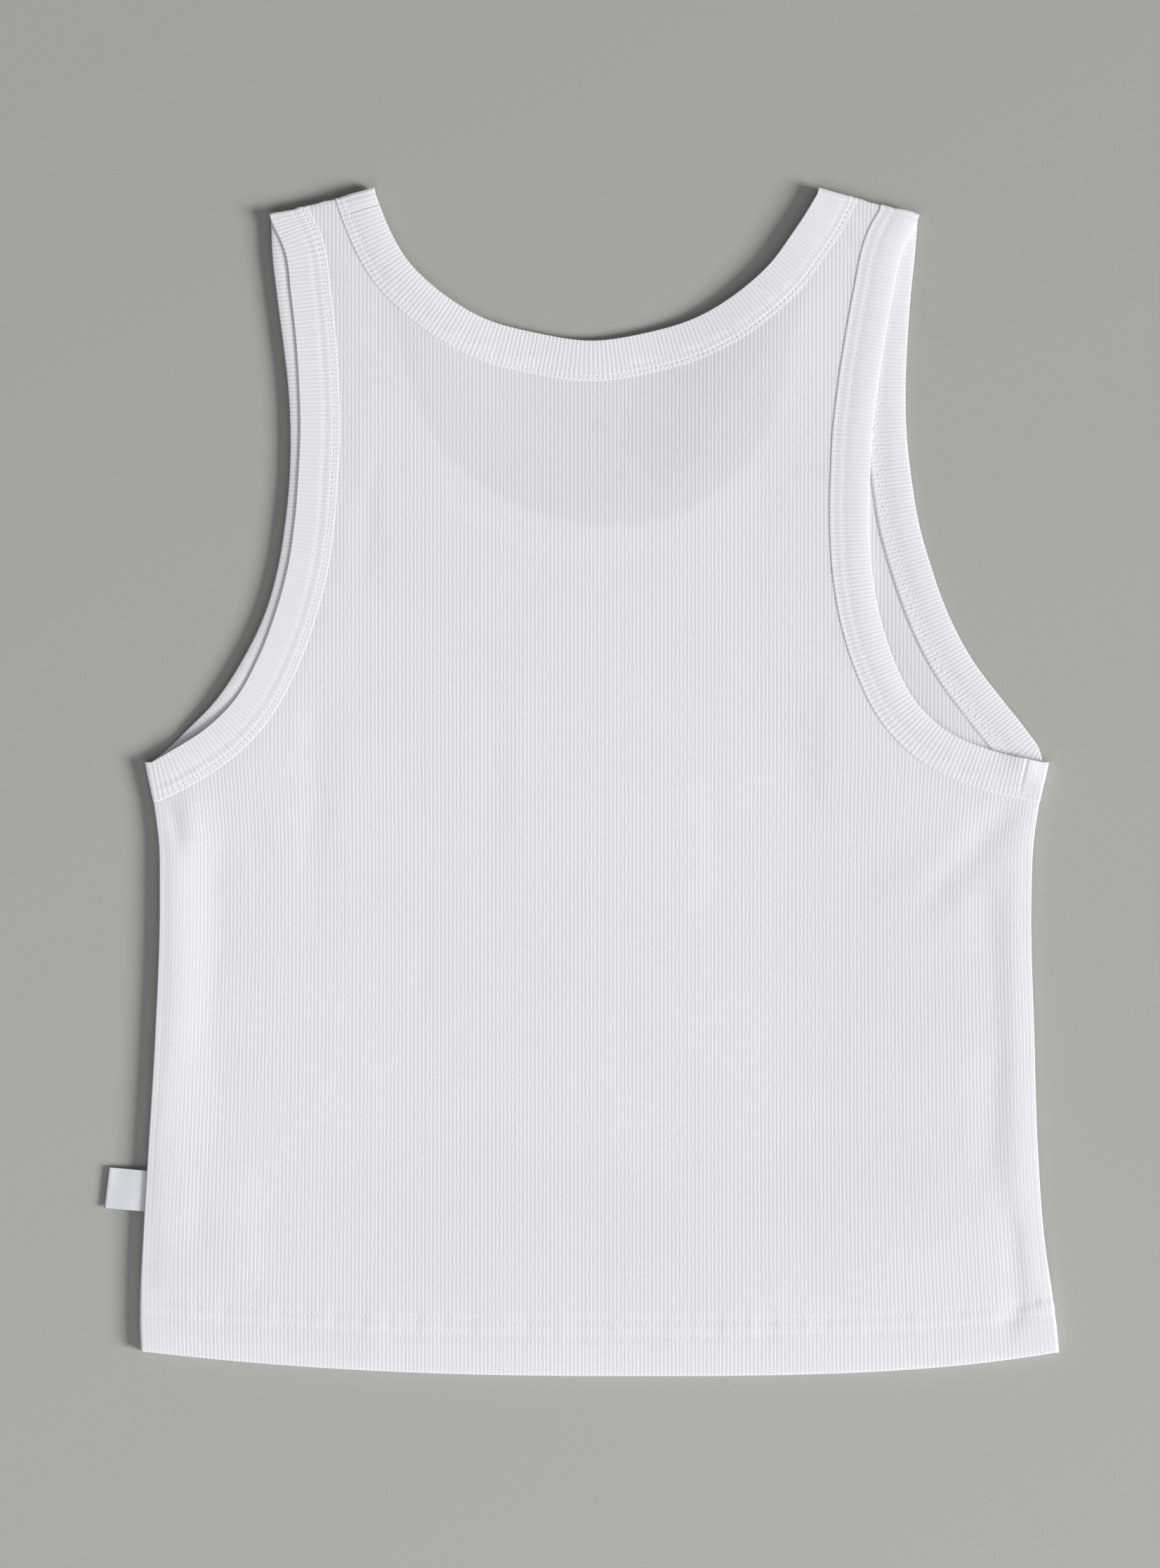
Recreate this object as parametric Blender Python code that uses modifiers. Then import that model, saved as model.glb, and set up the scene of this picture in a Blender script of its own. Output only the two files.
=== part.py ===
"""Ribbed, cropped tank top lying flat with its back upwards: two panels, three bindings, a side tab.

Frame: +X to the right as the garment lies, +Y from the hem to the neck, +Z up off the surface.
The origin is on the flat underside, on the centre line, half way between hem and shoulders.
The front panel lies underneath and the back panel on top of it. Every piece is a wall of WALL,
made as the surface through the middle of the cloth, and the surfaces of two layers that lie
on each other are LAYER apart.
"""
import math
from collections import namedtuple

import bmesh
import bpy
import numpy as np

MM = 0.001

# Driving dimensions
LENGTH = 528 * MM           # lowest point of the hem to the shoulder at the neck
WALL = 1.0 * MM             # thickness of the rib cloth
GAP = 0.3 * MM              # air between two layers, and between two edges that are sewn together
BINDING_WIDTH = 18 * MM     # of the folded strip round the neck and the armholes
RAW_EDGE = 9 * MM           # cut edge of a panel, measured in from the fold of its binding
HEM_DEPTH = 25 * MM         # cloth turned up inside the hem
HEM_RISE = 12 * MM          # the hem is this much higher at the side seams than at the centre
HEM_HALF = 205 * MM         # half the width of the hem
HEM_POWER = {"left": 2, "right": 3}     # how late the hem's rise comes, going outwards
HEM_FADE = 200 * MM         # height over which the curve of the hem dies out
UNDERARM = 273.5 * MM       # lowest point of the armholes
NECK_HALF = 98.5 * MM       # half the width of the neck at the shoulders
SHOULDER_SLOPE = 0.26       # fall of the shoulder line per unit of width
ARM_SEAM_INBOARD = 10 * MM  # closing seam of the right binding, in from the side
NECK_SEAM_DROP = 5 * MM     # closing seam of the neck binding, below the left shoulder
TAB_LENGTH = 17 * MM
TAB_WIDTH = 18 * MM
TAB_HEIGHT = 83.0 * MM      # middle of the side tab's root above the hem
TAB_SKEW = 1.5 * MM         # its free end stands this much higher

# Heights that follow from the wall and the gap
LAYER = WALL + GAP
FOLD_R = 1.5 * LAYER        # of the panels' middle surface round a side or a shoulder
HEM_R = 0.5 * LAYER
REACH = FOLD_R + WALL / 2   # a fold's axis lies this far inside the outline
FLAT = WALL / 2             # front panel resting on the surface
FRONT_BOUND = FLAT + LAYER  # front panel with a binding under it
BACK_FLAT = FLAT + LAYER    # back panel resting on the front panel
BACK_OVER = FLAT + 3 * LAYER    # back panel over a hem or a bound edge of the front
BACK_BOUND = FLAT + 4 * LAYER   # back panel with its own binding over that of the front
FLANGE_ZONE = BINDING_WIDTH + 8 * MM    # a panel keeps its level this far in from a free edge
EASE = 24 * MM              # way over which a panel comes down beside a thicker place
FRONT_EASE = 16 * MM
HEM_CREST = 3 * MM          # the back stays up this far past the hem's inner layer
ROLL_CREST = 1 * MM         # and past the fold at a side
UPPER_FRONT = (344 * MM, 358 * MM)  # the front rises to the level of its bindings here
UPPER_BACK = (305 * MM, 350 * MM)   # and the back to its level over them
NECK_SIDES = (25 * MM, 80 * MM)     # the back's neckline rises to the straps here

# Outline in millimetres: heights above the hem, widths outwards from the centre line
SideRow = namedtuple("SideRow", "height left right")
SIDES = (
    SideRow(0, 201.5, 206.5),
    SideRow(26, 202.8, 204.0),
    SideRow(63, 201.2, 198.7),
    SideRow(100, 199.0, 196.0),
    SideRow(150, 195.5, 194.4),
    SideRow(215, 193.3, 193.1),
    SideRow(238, 194.4, 194.1),
    SideRow(254, 196.4, 196.4),
    SideRow(274, 200.0, 200.6),
)
ArmholeRow = namedtuple("ArmholeRow", "height front_left front_right back_left back_right")
ARMHOLES = (
    ArmholeRow(500, 144.0, 141.6, 138.3, 136.0),
    ArmholeRow(480, 141.8, 139.6, 135.5, 131.5),
    ArmholeRow(460, 139.2, 138.2, 133.3, 128.0),
    ArmholeRow(440, 136.9, 137.4, 132.0, 125.0),
    ArmholeRow(420, 135.9, 137.8, 131.5, 122.6),
    ArmholeRow(400, 136.3, 139.9, 132.4, 121.6),
    ArmholeRow(380, 138.2, 143.2, 134.0, 121.2),
    ArmholeRow(360, 141.4, 148.8, 137.0, 122.2),
    ArmholeRow(340, 147.0, 156.0, 142.4, 125.5),
    ArmholeRow(320, 156.5, 166.4, 150.0, 131.6),
    ArmholeRow(300, 169.8, 181.3, 161.5, 142.0),
    ArmholeRow(288, 181.6, 190.8, 174.0, 154.6),
    ArmholeRow(279, 190.8, 196.8, 188.0, 175.0),
)
ARM_TOP = {"left": 144.4, "right": 142.7}
NeckRow = namedtuple("NeckRow", "height left right")
BACK_NECKLINE = (
    NeckRow(517, 94.4, 93.1),
    NeckRow(506, 89.5, 85.7),
    NeckRow(496, 83.2, 78.5),
    NeckRow(484, 71.0, 65.7),
    NeckRow(471, 50.8, 44.5),
    NeckRow(464, 26.0, 21.5),
)
BACK_NECK_LOW = (-2.2, 460.7)
FRONT_NECKLINE = (
    NeckRow(500, 95.0, 94.5),
    NeckRow(465, 88.0, 87.5),
    NeckRow(431, 78.0, 79.0),
    NeckRow(409, 64.5, 68.5),
    NeckRow(392, 43.0, 51.0),
    NeckRow(382, 18.0, 29.0),
)
FRONT_NECK_LOW = (5.0, 379.5)
NECKLINES = {"front": (FRONT_NECKLINE, FRONT_NECK_LOW), "back": (BACK_NECKLINE, BACK_NECK_LOW)}

# Rows and columns of the panels
BODY_ROWS = (12, 23, 34, 46, 60, 95, 140, 185, 215, 232, 247, 256)
FRONT_ROWS = (268, 272, 278, 286, 296, 308, 323, 343, 359, 370)
FRONT_SCOOP_ROWS = (371.5, 374, 379, 387, 398, 413, 432, 455, 478)
BACK_ROWS = (267, 270, 275, 282, 292, 306, 324, 345, 368, 390, 412, 433, 451)
BACK_SCOOP_ROWS = (453, 456, 461, 468, 478)
STRAP_STEPS = (0.35, 0.7, 1.0)  # rows above those, which turn to the shoulder's slope
COLUMNS = (0, 0.06, 0.13, 0.25, 0.45, 0.7, 1.0)
STRAP_COLUMNS = (0, 0.13, 0.3, 0.5, 0.7, 0.87, 1.0)
FOLD_ANGLES = (28, 56)
SEAM = "seam"
SEAM_CUT = GAP / 2 + 0.12 * MM  # how far a panel stops short of its seam on a fold

SIGN = {"left": -1, "right": 1}
UP = {"front": -1, "back": 1}   # way out of the garment
CURVE_STEP = 1 * MM
JOIN = 0.001 * MM
NORMAL_BLEND = 14 * MM          # a binding turns square to a fold over this length
STATION = 13 * MM               # spacing of a binding's sections on gentle stretches


def smoothstep(value, start, end):
    """0 at start, 1 at end, and flat beyond both."""
    t = np.clip((value - start) / (end - start), 0, 1)
    return t * t * (3 - 2 * t)


def smooth_curve(points, step=CURVE_STEP):
    """Points about a step apart on a smooth curve through the given ones."""
    points = np.array(points, dtype=float)
    t = np.concatenate([[0], np.cumsum(np.linalg.norm(np.diff(points, axis=0), axis=1))])
    slopes = np.gradient(points, t, axis=0)
    curve = []
    for i in range(len(points) - 1):
        span = t[i + 1] - t[i]
        for u in np.linspace(0, 1, max(2, int(span / step)), endpoint=False):
            a, b = (1 + 2 * u) * (1 - u) ** 2, u * u * (3 - 2 * u)
            c, d = u * (1 - u) ** 2 * span, u * u * (u - 1) * span
            curve.append(a * points[i] + b * points[i + 1] + c * slopes[i] + d * slopes[i + 1])
    return np.array(curve + [points[-1]])


def distance(curve, x, y):
    return float(np.min(np.hypot(curve[:, 0] - x, curve[:, 1] - y)))


def world_y(height):
    """Height above the hem to the garment's own Y."""
    return height - LENGTH / 2


# ---- outline ------------------------------------------------------------------------------

def side_x(side, y):
    """Outermost X of the folded side at this Y."""
    heights = [world_y(row.height * MM) for row in SIDES]
    widths = [getattr(row, side) * MM for row in SIDES]
    return SIGN[side] * float(np.interp(y, heights, widths))


def side_axis_x(side, y):
    return side_x(side, y) - SIGN[side] * REACH


def side_down(side):
    """Down along the side fold below the underarm."""
    high, low = world_y(UNDERARM), world_y(UNDERARM - BINDING_WIDTH)
    way = np.array([side_axis_x(side, low) - side_axis_x(side, high), low - high])
    return way / np.linalg.norm(way)


def shoulder_axis_y(x):
    """Y of the axis that the cloth is folded round at the shoulder."""
    slant = math.hypot(1, SHOULDER_SLOPE)
    top = world_y(LENGTH) - SHOULDER_SLOPE * (abs(x) - NECK_HALF)
    return top - REACH * slant


def shoulder_directions(side):
    """Along the shoulder away from the neck, and square to it upwards."""
    slant = math.hypot(1, SHOULDER_SLOPE)
    along = np.array([SIGN[side], -SHOULDER_SLOPE]) / slant
    across = np.array([SIGN[side] * SHOULDER_SLOPE, 1]) / slant
    return along, across


def hem_lift(x):
    """How much the hem is raised at this X: slowly on the right, sooner on the left."""
    side = "left" if x < 0 else "right"
    return HEM_RISE * abs(x / HEM_HALF) ** HEM_POWER[side]


def armhole_curve(face, side):
    """Free edge of an armhole, from the shoulder's fold axis to the side's."""
    top_x = SIGN[side] * ARM_TOP[side] * MM
    low_y = world_y(UNDERARM)
    points = [(top_x, shoulder_axis_y(top_x))]
    points += [(SIGN[side] * getattr(row, face + "_" + side) * MM, world_y(row.height * MM))
               for row in ARMHOLES]
    points.append((side_axis_x(side, low_y), low_y))
    return smooth_curve(points)


def neckline_curve(face):
    """Free edge of the neckline, from the left shoulder's fold axis to the right one's."""
    rows, low = NECKLINES[face]
    top = NECK_HALF - SHOULDER_SLOPE * REACH
    points = [(-top, shoulder_axis_y(top))]
    points += [(-row.left * MM, world_y(row.height * MM)) for row in rows]
    points.append((low[0] * MM, world_y(low[1] * MM)))
    points += [(row.right * MM, world_y(row.height * MM)) for row in reversed(rows)]
    points.append((top, shoulder_axis_y(top)))
    return smooth_curve(points)


def inward_normals(curve, first, last, reference):
    """Unit vectors from a free edge into its panel, turned to the given ones at both ends."""
    tangents = np.gradient(curve, axis=0)
    normals = np.stack([-tangents[:, 1], tangents[:, 0]], axis=1)
    normals /= np.linalg.norm(normals, axis=1)[:, None]
    middle = len(curve) // 2
    if np.dot(normals[middle], reference) < 0:
        normals = -normals
    run = np.concatenate([[0], np.cumsum(np.linalg.norm(np.diff(curve, axis=0), axis=1))])
    near_first = 1 - smoothstep(run, 0, NORMAL_BLEND)
    near_last = 1 - smoothstep(run[-1] - run, 0, NORMAL_BLEND)
    rest = 1 - near_first - near_last
    mixed = near_first[:, None] * first + near_last[:, None] * last + rest[:, None] * normals
    return mixed / np.linalg.norm(mixed, axis=1)[:, None]


def bound_edges():
    """Each bound edge as its free edge and the directions into the panel."""
    edges = {}
    down = np.array([0.0, -1.0])
    for face in ("front", "back"):
        along_left, along_right = shoulder_directions("left")[0], shoulder_directions("right")[0]
        curve = neckline_curve(face)
        edges[face, "neck"] = (curve, inward_normals(curve, along_left, along_right, down))
        for side, along in (("left", along_left), ("right", along_right)):
            curve = armhole_curve(face, side)
            inwards = np.array([-SIGN[side], 0.0])
            edges[face, side] = (curve, inward_normals(curve, -along, side_down(side), inwards))
    return edges


EDGES = bound_edges()


def raw_edge_x(face, edge, y, half=None):
    """X of a panel's cut edge at this Y; half picks the left or right half of a neckline."""
    curve, normals = EDGES[face, edge]
    raw = curve + normals * RAW_EDGE
    if half:
        low = int(np.argmin(raw[:, 1]))
        raw = raw[:low + 1] if half == "left" else raw[low:]
    raw = raw[np.argsort(raw[:, 1])]
    return float(np.interp(y, raw[:, 1], raw[:, 0]))


# ---- how high each panel lies -------------------------------------------------------------

def front_level(x, y):
    """Middle of the front panel's wall: up on its bindings, elsewhere flat on the surface."""
    near = min(distance(EDGES["front", side][0], x, y) for side in ("left", "right"))
    beside = 1 - smoothstep(near, FLANGE_ZONE, FLANGE_ZONE + FRONT_EASE)
    above = smoothstep(y, *(world_y(height) for height in UPPER_FRONT))
    return FLAT + (FRONT_BOUND - FLAT) * max(beside, above)


def back_level(x, y):
    """Middle of the back panel's wall, over whatever lies below it."""
    hem_top = HEM_DEPTH + HEM_CREST
    hem = 1 - smoothstep(y - world_y(hem_lift(x)), hem_top, HEM_DEPTH + 2 * EASE)
    to_side = abs(side_x("left" if x < 0 else "right", y)) - abs(x)
    roll = 1 - smoothstep(to_side, REACH + ROLL_CREST, REACH + EASE)
    above = smoothstep(y, *(world_y(height) for height in UPPER_BACK))
    over = BACK_FLAT + (BACK_OVER - BACK_FLAT) * max(hem, roll, above)

    to_arm = min(distance(EDGES["back", side][0], x, y) for side in ("left", "right"))
    beside = 1 - smoothstep(to_arm, FLANGE_ZONE, FLANGE_ZONE + EASE)
    to_neck = distance(EDGES["back", "neck"][0], x, y)
    neck = 1 - smoothstep(to_neck, FLANGE_ZONE, FLANGE_ZONE + EASE)
    return over + (BACK_BOUND - over) * max(beside, neck * smoothstep(abs(x), *NECK_SIDES))


LEVEL = {"front": front_level, "back": back_level}


# ---- points on the cloth; lift is the way out of the garment from the panel's middle ---------

def flat_point(face, x, y, lift=0.0):
    return (x, y, LEVEL[face](x, y) + UP[face] * lift)


def fold_turn(degrees, radius):
    """Angle round a fold in radians; SEAM stops just short of the seam at 90 degrees."""
    if degrees == SEAM:
        return math.pi / 2 - SEAM_CUT / radius
    return math.radians(degrees)


def side_fold_point(face, side, y, degrees, lift=0.0):
    """Round the fold at the side, from 0 degrees on the flat to 90 at the outermost line."""
    axis = side_axis_x(side, y)
    radius = FOLD_R + lift
    turn = fold_turn(degrees, radius)
    z = front_level(axis, y) + FOLD_R + UP[face] * radius * math.cos(turn)
    return (axis + SIGN[side] * radius * math.sin(turn), y, z)


def shoulder_fold_point(face, side, x, degrees, lift=0.0):
    """Round the fold at the shoulder, square to the shoulder line."""
    across = shoulder_directions(side)[1]
    radius = FOLD_R + lift
    turn = fold_turn(degrees, radius)
    plan = np.array([x, shoulder_axis_y(x)]) + across * radius * math.sin(turn)
    return (plan[0], plan[1], FRONT_BOUND + FOLD_R + UP[face] * radius * math.cos(turn))


# ---- meshes ---------------------------------------------------------------------------------

def cloth_material(name, colour, roughness):
    material = bpy.data.materials.new(name)
    material.use_nodes = True
    shader = material.node_tree.nodes["Principled BSDF"]
    shader.inputs["Base Color"].default_value = (*colour, 1)
    shader.inputs["Roughness"].default_value = roughness
    shader.inputs["Metallic"].default_value = 0
    return material


def cloth_object(name, mesh, material, collection):
    """Give a surface the thickness of the cloth, half of it on each side."""
    mesh.materials.append(material)
    obj = bpy.data.objects.new(name, mesh)
    collection.objects.link(obj)
    wall = obj.modifiers.new("wall", "SOLIDIFY")
    wall.thickness = WALL
    wall.offset = 0
    mesh.shade_smooth()
    mesh.set_sharp_from_angle(angle=math.radians(50))
    return obj


def grid_mesh(name, *grids):
    """A surface of quads through rows of points; a missing point is None. Equal points are joined."""
    bm = bmesh.new()
    for rows in grids:
        grid = [[bm.verts.new(point) if point else None for point in row] for row in rows]
        for low, high in zip(grid, grid[1:]):
            for j in range(len(low) - 1):
                corners = [low[j], low[j + 1], high[j + 1], high[j]]
                if all(corners):
                    bm.faces.new(corners)
    bmesh.ops.remove_doubles(bm, verts=bm.verts[:], dist=JOIN)
    mesh = bpy.data.meshes.new(name)
    bm.to_mesh(mesh)
    bm.free()
    return mesh


# ---- panels: each is two halves, with rows that run from a side to the middle --------------

def row_y(height, x):
    """Y of a row at this X: low rows bend with the hem."""
    return world_y(height) + hem_lift(x) * (1 - smoothstep(height, 0, HEM_FADE))


def folded_row(face, side, height, middle, lift=0.0):
    """A row below the underarm. It starts at the side seam, or inside the hem before the fold."""
    y = row_y(height, side_axis_x(side, world_y(height)))
    row = [side_fold_point(face, side, y, degrees, lift) if lift > -LAYER else None
           for degrees in (SEAM, *FOLD_ANGLES[::-1])]
    row.append(side_fold_point(face, side, y, 0, lift))
    edge = side_axis_x(side, y)
    for part in COLUMNS[1:]:
        x = edge + (middle - edge) * part
        row.append(flat_point(face, x, row_y(height, x), lift))
    return row


def hem_rows(face, side, middle):
    """The hem's turned-up layer inside, then its fold."""
    rows = [folded_row(face, side, height, middle, -LAYER) for height in (HEM_DEPTH, HEM_DEPTH / 2)]
    for degrees in (90, 45, 0, -45, -90):
        turn = math.radians(degrees)
        height = WALL / 2 + HEM_R - HEM_R * math.cos(turn)
        rows.append(folded_row(face, side, height, middle, -HEM_R - HEM_R * math.sin(turn)))
    return rows


def strap_line(x, height, step):
    """Y of a row on the straps: level, then turning to the shoulder's slope."""
    return world_y(height) * (1 - step) + shoulder_axis_y(x) * step


def open_row(face, side, height, middle=None, step=0.0):
    """A row above the underarm, from the armhole to the middle, or to the neck on a strap."""
    outer, inner = SIGN[side] * ARM_TOP[side] * MM, SIGN[side] * NECK_HALF
    for _ in range(4):
        outer = raw_edge_x(face, side, strap_line(outer, height, step))
        inner = raw_edge_x(face, "neck", strap_line(inner, height, step), side)
    columns = STRAP_COLUMNS
    if middle is not None:
        inner, columns = middle, COLUMNS
    xs = [outer + (inner - outer) * part for part in columns]
    flat = [flat_point(face, x, strap_line(x, height, step)) for x in xs]
    return [None] * (len(FOLD_ANGLES) + 1) + flat


def shoulder_row(face, side, last, degrees):
    """The last flat row, turned round the shoulder fold."""
    return [shoulder_fold_point(face, side, point[0], degrees) if point else None for point in last]


def panel_half(face, side):
    middle = NECKLINES[face][1][0] * MM
    plain = {"front": FRONT_ROWS, "back": BACK_ROWS}[face]
    scoop = {"front": FRONT_SCOOP_ROWS, "back": BACK_SCOOP_ROWS}[face]
    rows = hem_rows(face, side, middle)
    rows += [folded_row(face, side, height * MM, middle) for height in BODY_ROWS]
    rows.append(folded_row(face, side, UNDERARM - RAW_EDGE, middle))
    rows += [open_row(face, side, height * MM, middle) for height in plain]
    rows += [open_row(face, side, height * MM) for height in scoop]
    rows += [open_row(face, side, scoop[-1] * MM, None, step) for step in STRAP_STEPS]
    last = rows[-1]
    rows += [shoulder_row(face, side, last, degrees) for degrees in (*FOLD_ANGLES, SEAM)]
    return rows if side == "left" else [row[::-1] for row in rows]


def panel(face, material, collection):
    name = face + "_panel"
    mesh = grid_mesh(name, panel_half(face, "left"), panel_half(face, "right"))
    return cloth_object(name, mesh, material, collection)


# ---- bindings ---------------------------------------------------------------------------------

def binding_section():
    """Distance in from the free edge, and lift, from the outer flange round the fold."""
    centre = LAYER + WALL / 2
    section = [(BINDING_WIDTH, LAYER)]
    for degrees in (90, 30, -30, -90):
        turn = math.radians(degrees)
        section.append((centre - LAYER * math.cos(turn), LAYER * math.sin(turn)))
    return section + [(BINDING_WIDTH, -LAYER)]


def flat_stations(face, edge, start=0.0, stop=0.0, backwards=False):
    """Sections along a free edge, closer together where it turns fast."""
    curve, normals = EDGES[face, edge]
    run = np.concatenate([[0], np.cumsum(np.linalg.norm(np.diff(curve, axis=0), axis=1))])
    turned = np.concatenate([[0], np.cumsum(np.linalg.norm(np.diff(normals, axis=0), axis=1))])
    effort = run / STATION + turned / math.radians(13)
    first, last = np.interp([start, run[-1] - stop], run, effort)
    count = max(2, int(round((last - first) / 1.5)) + 1)
    stations = []
    for value in np.linspace(first, last, count):
        place = [float(np.interp(value, effort, column)) for column in (*curve.T, *normals.T)]
        stations.append(flat_station(face, *place))
    return stations[::-1] if backwards else stations


def flat_station(face, x, y, nx, ny):
    return [flat_point(face, x + nx * inset, y + ny * inset, lift) for inset, lift in binding_section()]


def side_station(face, side, degrees):
    high, slant = world_y(UNDERARM), side_down(side)[1]
    return [side_fold_point(face, side, high + slant * inset, degrees, lift)
            for inset, lift in binding_section()]


def shoulder_station(face, side, x, degrees, inwards):
    along = shoulder_directions(side)[0]
    return [shoulder_fold_point(face, side, x + inwards * along[0] * inset, degrees, lift)
            for inset, lift in binding_section()]


def shoulder_turn(side, x, inwards, faces):
    """Over the shoulder, from one face to the other."""
    rising = [shoulder_station(faces[0], side, x, degrees, inwards) for degrees in FOLD_ANGLES]
    falling = [shoulder_station(faces[1], side, x, degrees, inwards) for degrees in FOLD_ANGLES[::-1]]
    return rising + [shoulder_station(faces[0], side, x, 90, inwards)] + falling


def arm_binding(side, material, collection):
    """A strip round an armhole, closed at the left side, or on the back near the right one."""
    top_x = SIGN[side] * ARM_TOP[side] * MM
    over = shoulder_turn(side, top_x, -1, ("back", "front"))
    front = flat_stations("front", side)
    if side == "left":
        start = [side_station("back", side, degrees) for degrees in (SEAM,) + FOLD_ANGLES[::-1]]
        rows = start + flat_stations("back", side, backwards=True) + over + front
        rows += [side_station("front", side, degrees) for degrees in FOLD_ANGLES + (SEAM,)]
    else:
        inboard = ARM_SEAM_INBOARD - REACH
        rows = flat_stations("back", side, stop=inboard + GAP / 2, backwards=True) + over + front
        rows += [side_station("front", side, degrees) for degrees in FOLD_ANGLES + (90,)]
        rows += [side_station("back", side, degrees) for degrees in FOLD_ANGLES[::-1]]
        length = np.sum(np.linalg.norm(np.diff(EDGES["back", side][0], axis=0), axis=1))
        last = flat_stations("back", side, start=length - inboard + GAP / 2, backwards=True)
        rows += last
    name = "arm_binding_" + side
    return cloth_object(name, grid_mesh(name, rows), material, collection)


def neck_binding(material, collection):
    """A strip round the neck, closed on the back just below the left shoulder."""
    top = NECK_HALF - SHOULDER_SLOPE * REACH
    length = np.sum(np.linalg.norm(np.diff(EDGES["back", "neck"][0], axis=0), axis=1))
    rows = flat_stations("back", "neck", start=NECK_SEAM_DROP + GAP / 2)
    rows += shoulder_turn("right", top, 1, ("back", "front"))
    rows += flat_stations("front", "neck", backwards=True)
    rows += shoulder_turn("left", -top, 1, ("front", "back"))
    rows += flat_stations("back", "neck", stop=length - NECK_SEAM_DROP + GAP / 2)
    return cloth_object("neck_binding", grid_mesh("neck_binding", rows), material, collection)


# ---- side tab -----------------------------------------------------------------------------------

def side_tab(material, collection):
    """A blank satin tab in the left side seam, drooping to the surface."""
    seam_z = FLAT + FOLD_R
    rows = []
    for part in np.linspace(0, 1, 6):
        z = FLAT + (seam_z - FLAT) * (1 - smoothstep(part, 0, 0.8))
        row = []
        for across in np.linspace(-0.5, 0.5, 4):
            y = world_y(TAB_HEIGHT) + TAB_WIDTH * across
            root = side_x("left", y) - GAP
            row.append((root - TAB_LENGTH * part, y + TAB_SKEW * part, z))
        rows.append(row)
    return cloth_object("side_label", grid_mesh("side_label", rows), material, collection)


def main():
    for old in list(bpy.data.objects):
        bpy.data.objects.remove(old, do_unlink=True)
    collection = bpy.data.collections.new("tank_top")
    bpy.context.scene.collection.children.link(collection)
    rib = cloth_material("white_rib", (0.74, 0.73, 0.77), 0.85)
    binding = cloth_material("white_binding", (0.72, 0.71, 0.75), 0.85)
    satin = cloth_material("white_satin", (0.78, 0.79, 0.82), 0.45)
    for face in ("front", "back"):
        panel(face, rib, collection)
    neck_binding(binding, collection)
    for side in ("left", "right"):
        arm_binding(side, binding, collection)
    side_tab(satin, collection)


main()
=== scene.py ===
"""Looks of the ribbed tank top: it lies flat, back upwards, on a plain pale floor.

Every piece is a thin surface at the outer face of its CAD wall. Lengths are in metres. Heights in the
tables are millimetres above the lowest point of the hem, and widths go outwards from the centre line.
Left and right are those of the view from above.
"""
import math
from collections import namedtuple

import bpy
import numpy as np
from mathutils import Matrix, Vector


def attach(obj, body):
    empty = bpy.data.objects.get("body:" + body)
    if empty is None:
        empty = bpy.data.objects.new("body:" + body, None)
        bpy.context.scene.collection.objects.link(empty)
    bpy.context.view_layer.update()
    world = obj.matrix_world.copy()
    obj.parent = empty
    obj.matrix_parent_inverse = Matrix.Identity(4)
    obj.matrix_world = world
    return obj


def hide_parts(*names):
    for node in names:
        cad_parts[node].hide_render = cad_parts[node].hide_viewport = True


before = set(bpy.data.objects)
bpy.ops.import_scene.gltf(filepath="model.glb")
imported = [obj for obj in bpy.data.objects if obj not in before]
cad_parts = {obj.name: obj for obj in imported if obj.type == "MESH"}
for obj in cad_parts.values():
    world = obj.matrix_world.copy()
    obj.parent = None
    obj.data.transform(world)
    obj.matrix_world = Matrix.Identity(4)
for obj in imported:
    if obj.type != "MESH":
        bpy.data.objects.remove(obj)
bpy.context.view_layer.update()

MM = 0.001


def table(kind, *rows):
    return [kind(*row) for row in rows]


# ---- sizes, close to those of the CAD ----
LENGTH = 528 * MM
WALL = 1.0 * MM
BINDING_WIDTH = 18 * MM
RAW_EDGE = 9 * MM
HEM_DEPTH = 25 * MM
HEM_RISE = 12 * MM
HEM_LOW = 1.05 * MM             # middle of the hem, a little above the lowest point of the wall
HEM_HALF = 205 * MM
HEM_TILT = 0.35 * MM
HEM_POWER = {"left": 2.25, "right": 3.3}
HEM_FADE = 200 * MM
UNDERARM = 273.5 * MM
NECK_HALF = 98.5 * MM
SHOULDER_SLOPE = 0.26
SHOULDER_WAVE = 0.35 * MM
SLANT = math.hypot(1, SHOULDER_SLOPE)
ARM_SEAM_INBOARD = 10 * MM
NECK_SEAM_DROP = 5 * MM
TAB_LENGTH = 17 * MM
TAB_WIDTH = 18 * MM
TAB_HEIGHT = 83 * MM
TAB_SKEW = 1.5 * MM
TAB_DROOP = 1.5 * MM

LAYER = 1.3 * MM
FOLD_R = 1.5 * LAYER
HEM_R = 0.5 * LAYER
REACH = FOLD_R + WALL / 2
NECK_TOP = NECK_HALF - SHOULDER_SLOPE * REACH
FLAT = WALL / 2
FRONT_BOUND = FLAT + LAYER
BACK_FLAT = FLAT + LAYER
BACK_OVER = FLAT + 3 * LAYER
# pressed together where four layers meet at the bindings, and a little over the chest
BACK_CHEST = FLAT + 2.45 * LAYER
BACK_BOUND = {"left": FLAT + 2.55 * LAYER, "right": FLAT + 2.6 * LAYER, "neck": FLAT + 2.8 * LAYER}
BOUND_EASE = {"left": (-8 * MM, 52 * MM), "right": (23 * MM, 65 * MM), "neck": (23 * MM, 59 * MM)}
FLANGE_ZONE = BINDING_WIDTH + 5 * MM
FRONT_EASE = FLANGE_ZONE + 14 * MM      # the front comes down to the floor this far from an armhole
BACK_HEM_EASE = (HEM_DEPTH + 1 * MM, HEM_DEPTH + 90 * MM)
UPPER_FRONT = (344 * MM, 358 * MM)
UPPER_BACK = (190 * MM, 356 * MM)
NECK_SIDES = (25 * MM, 80 * MM)
WIDEST = 203 * MM               # half of a panel's cloth, with its side fold
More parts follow.
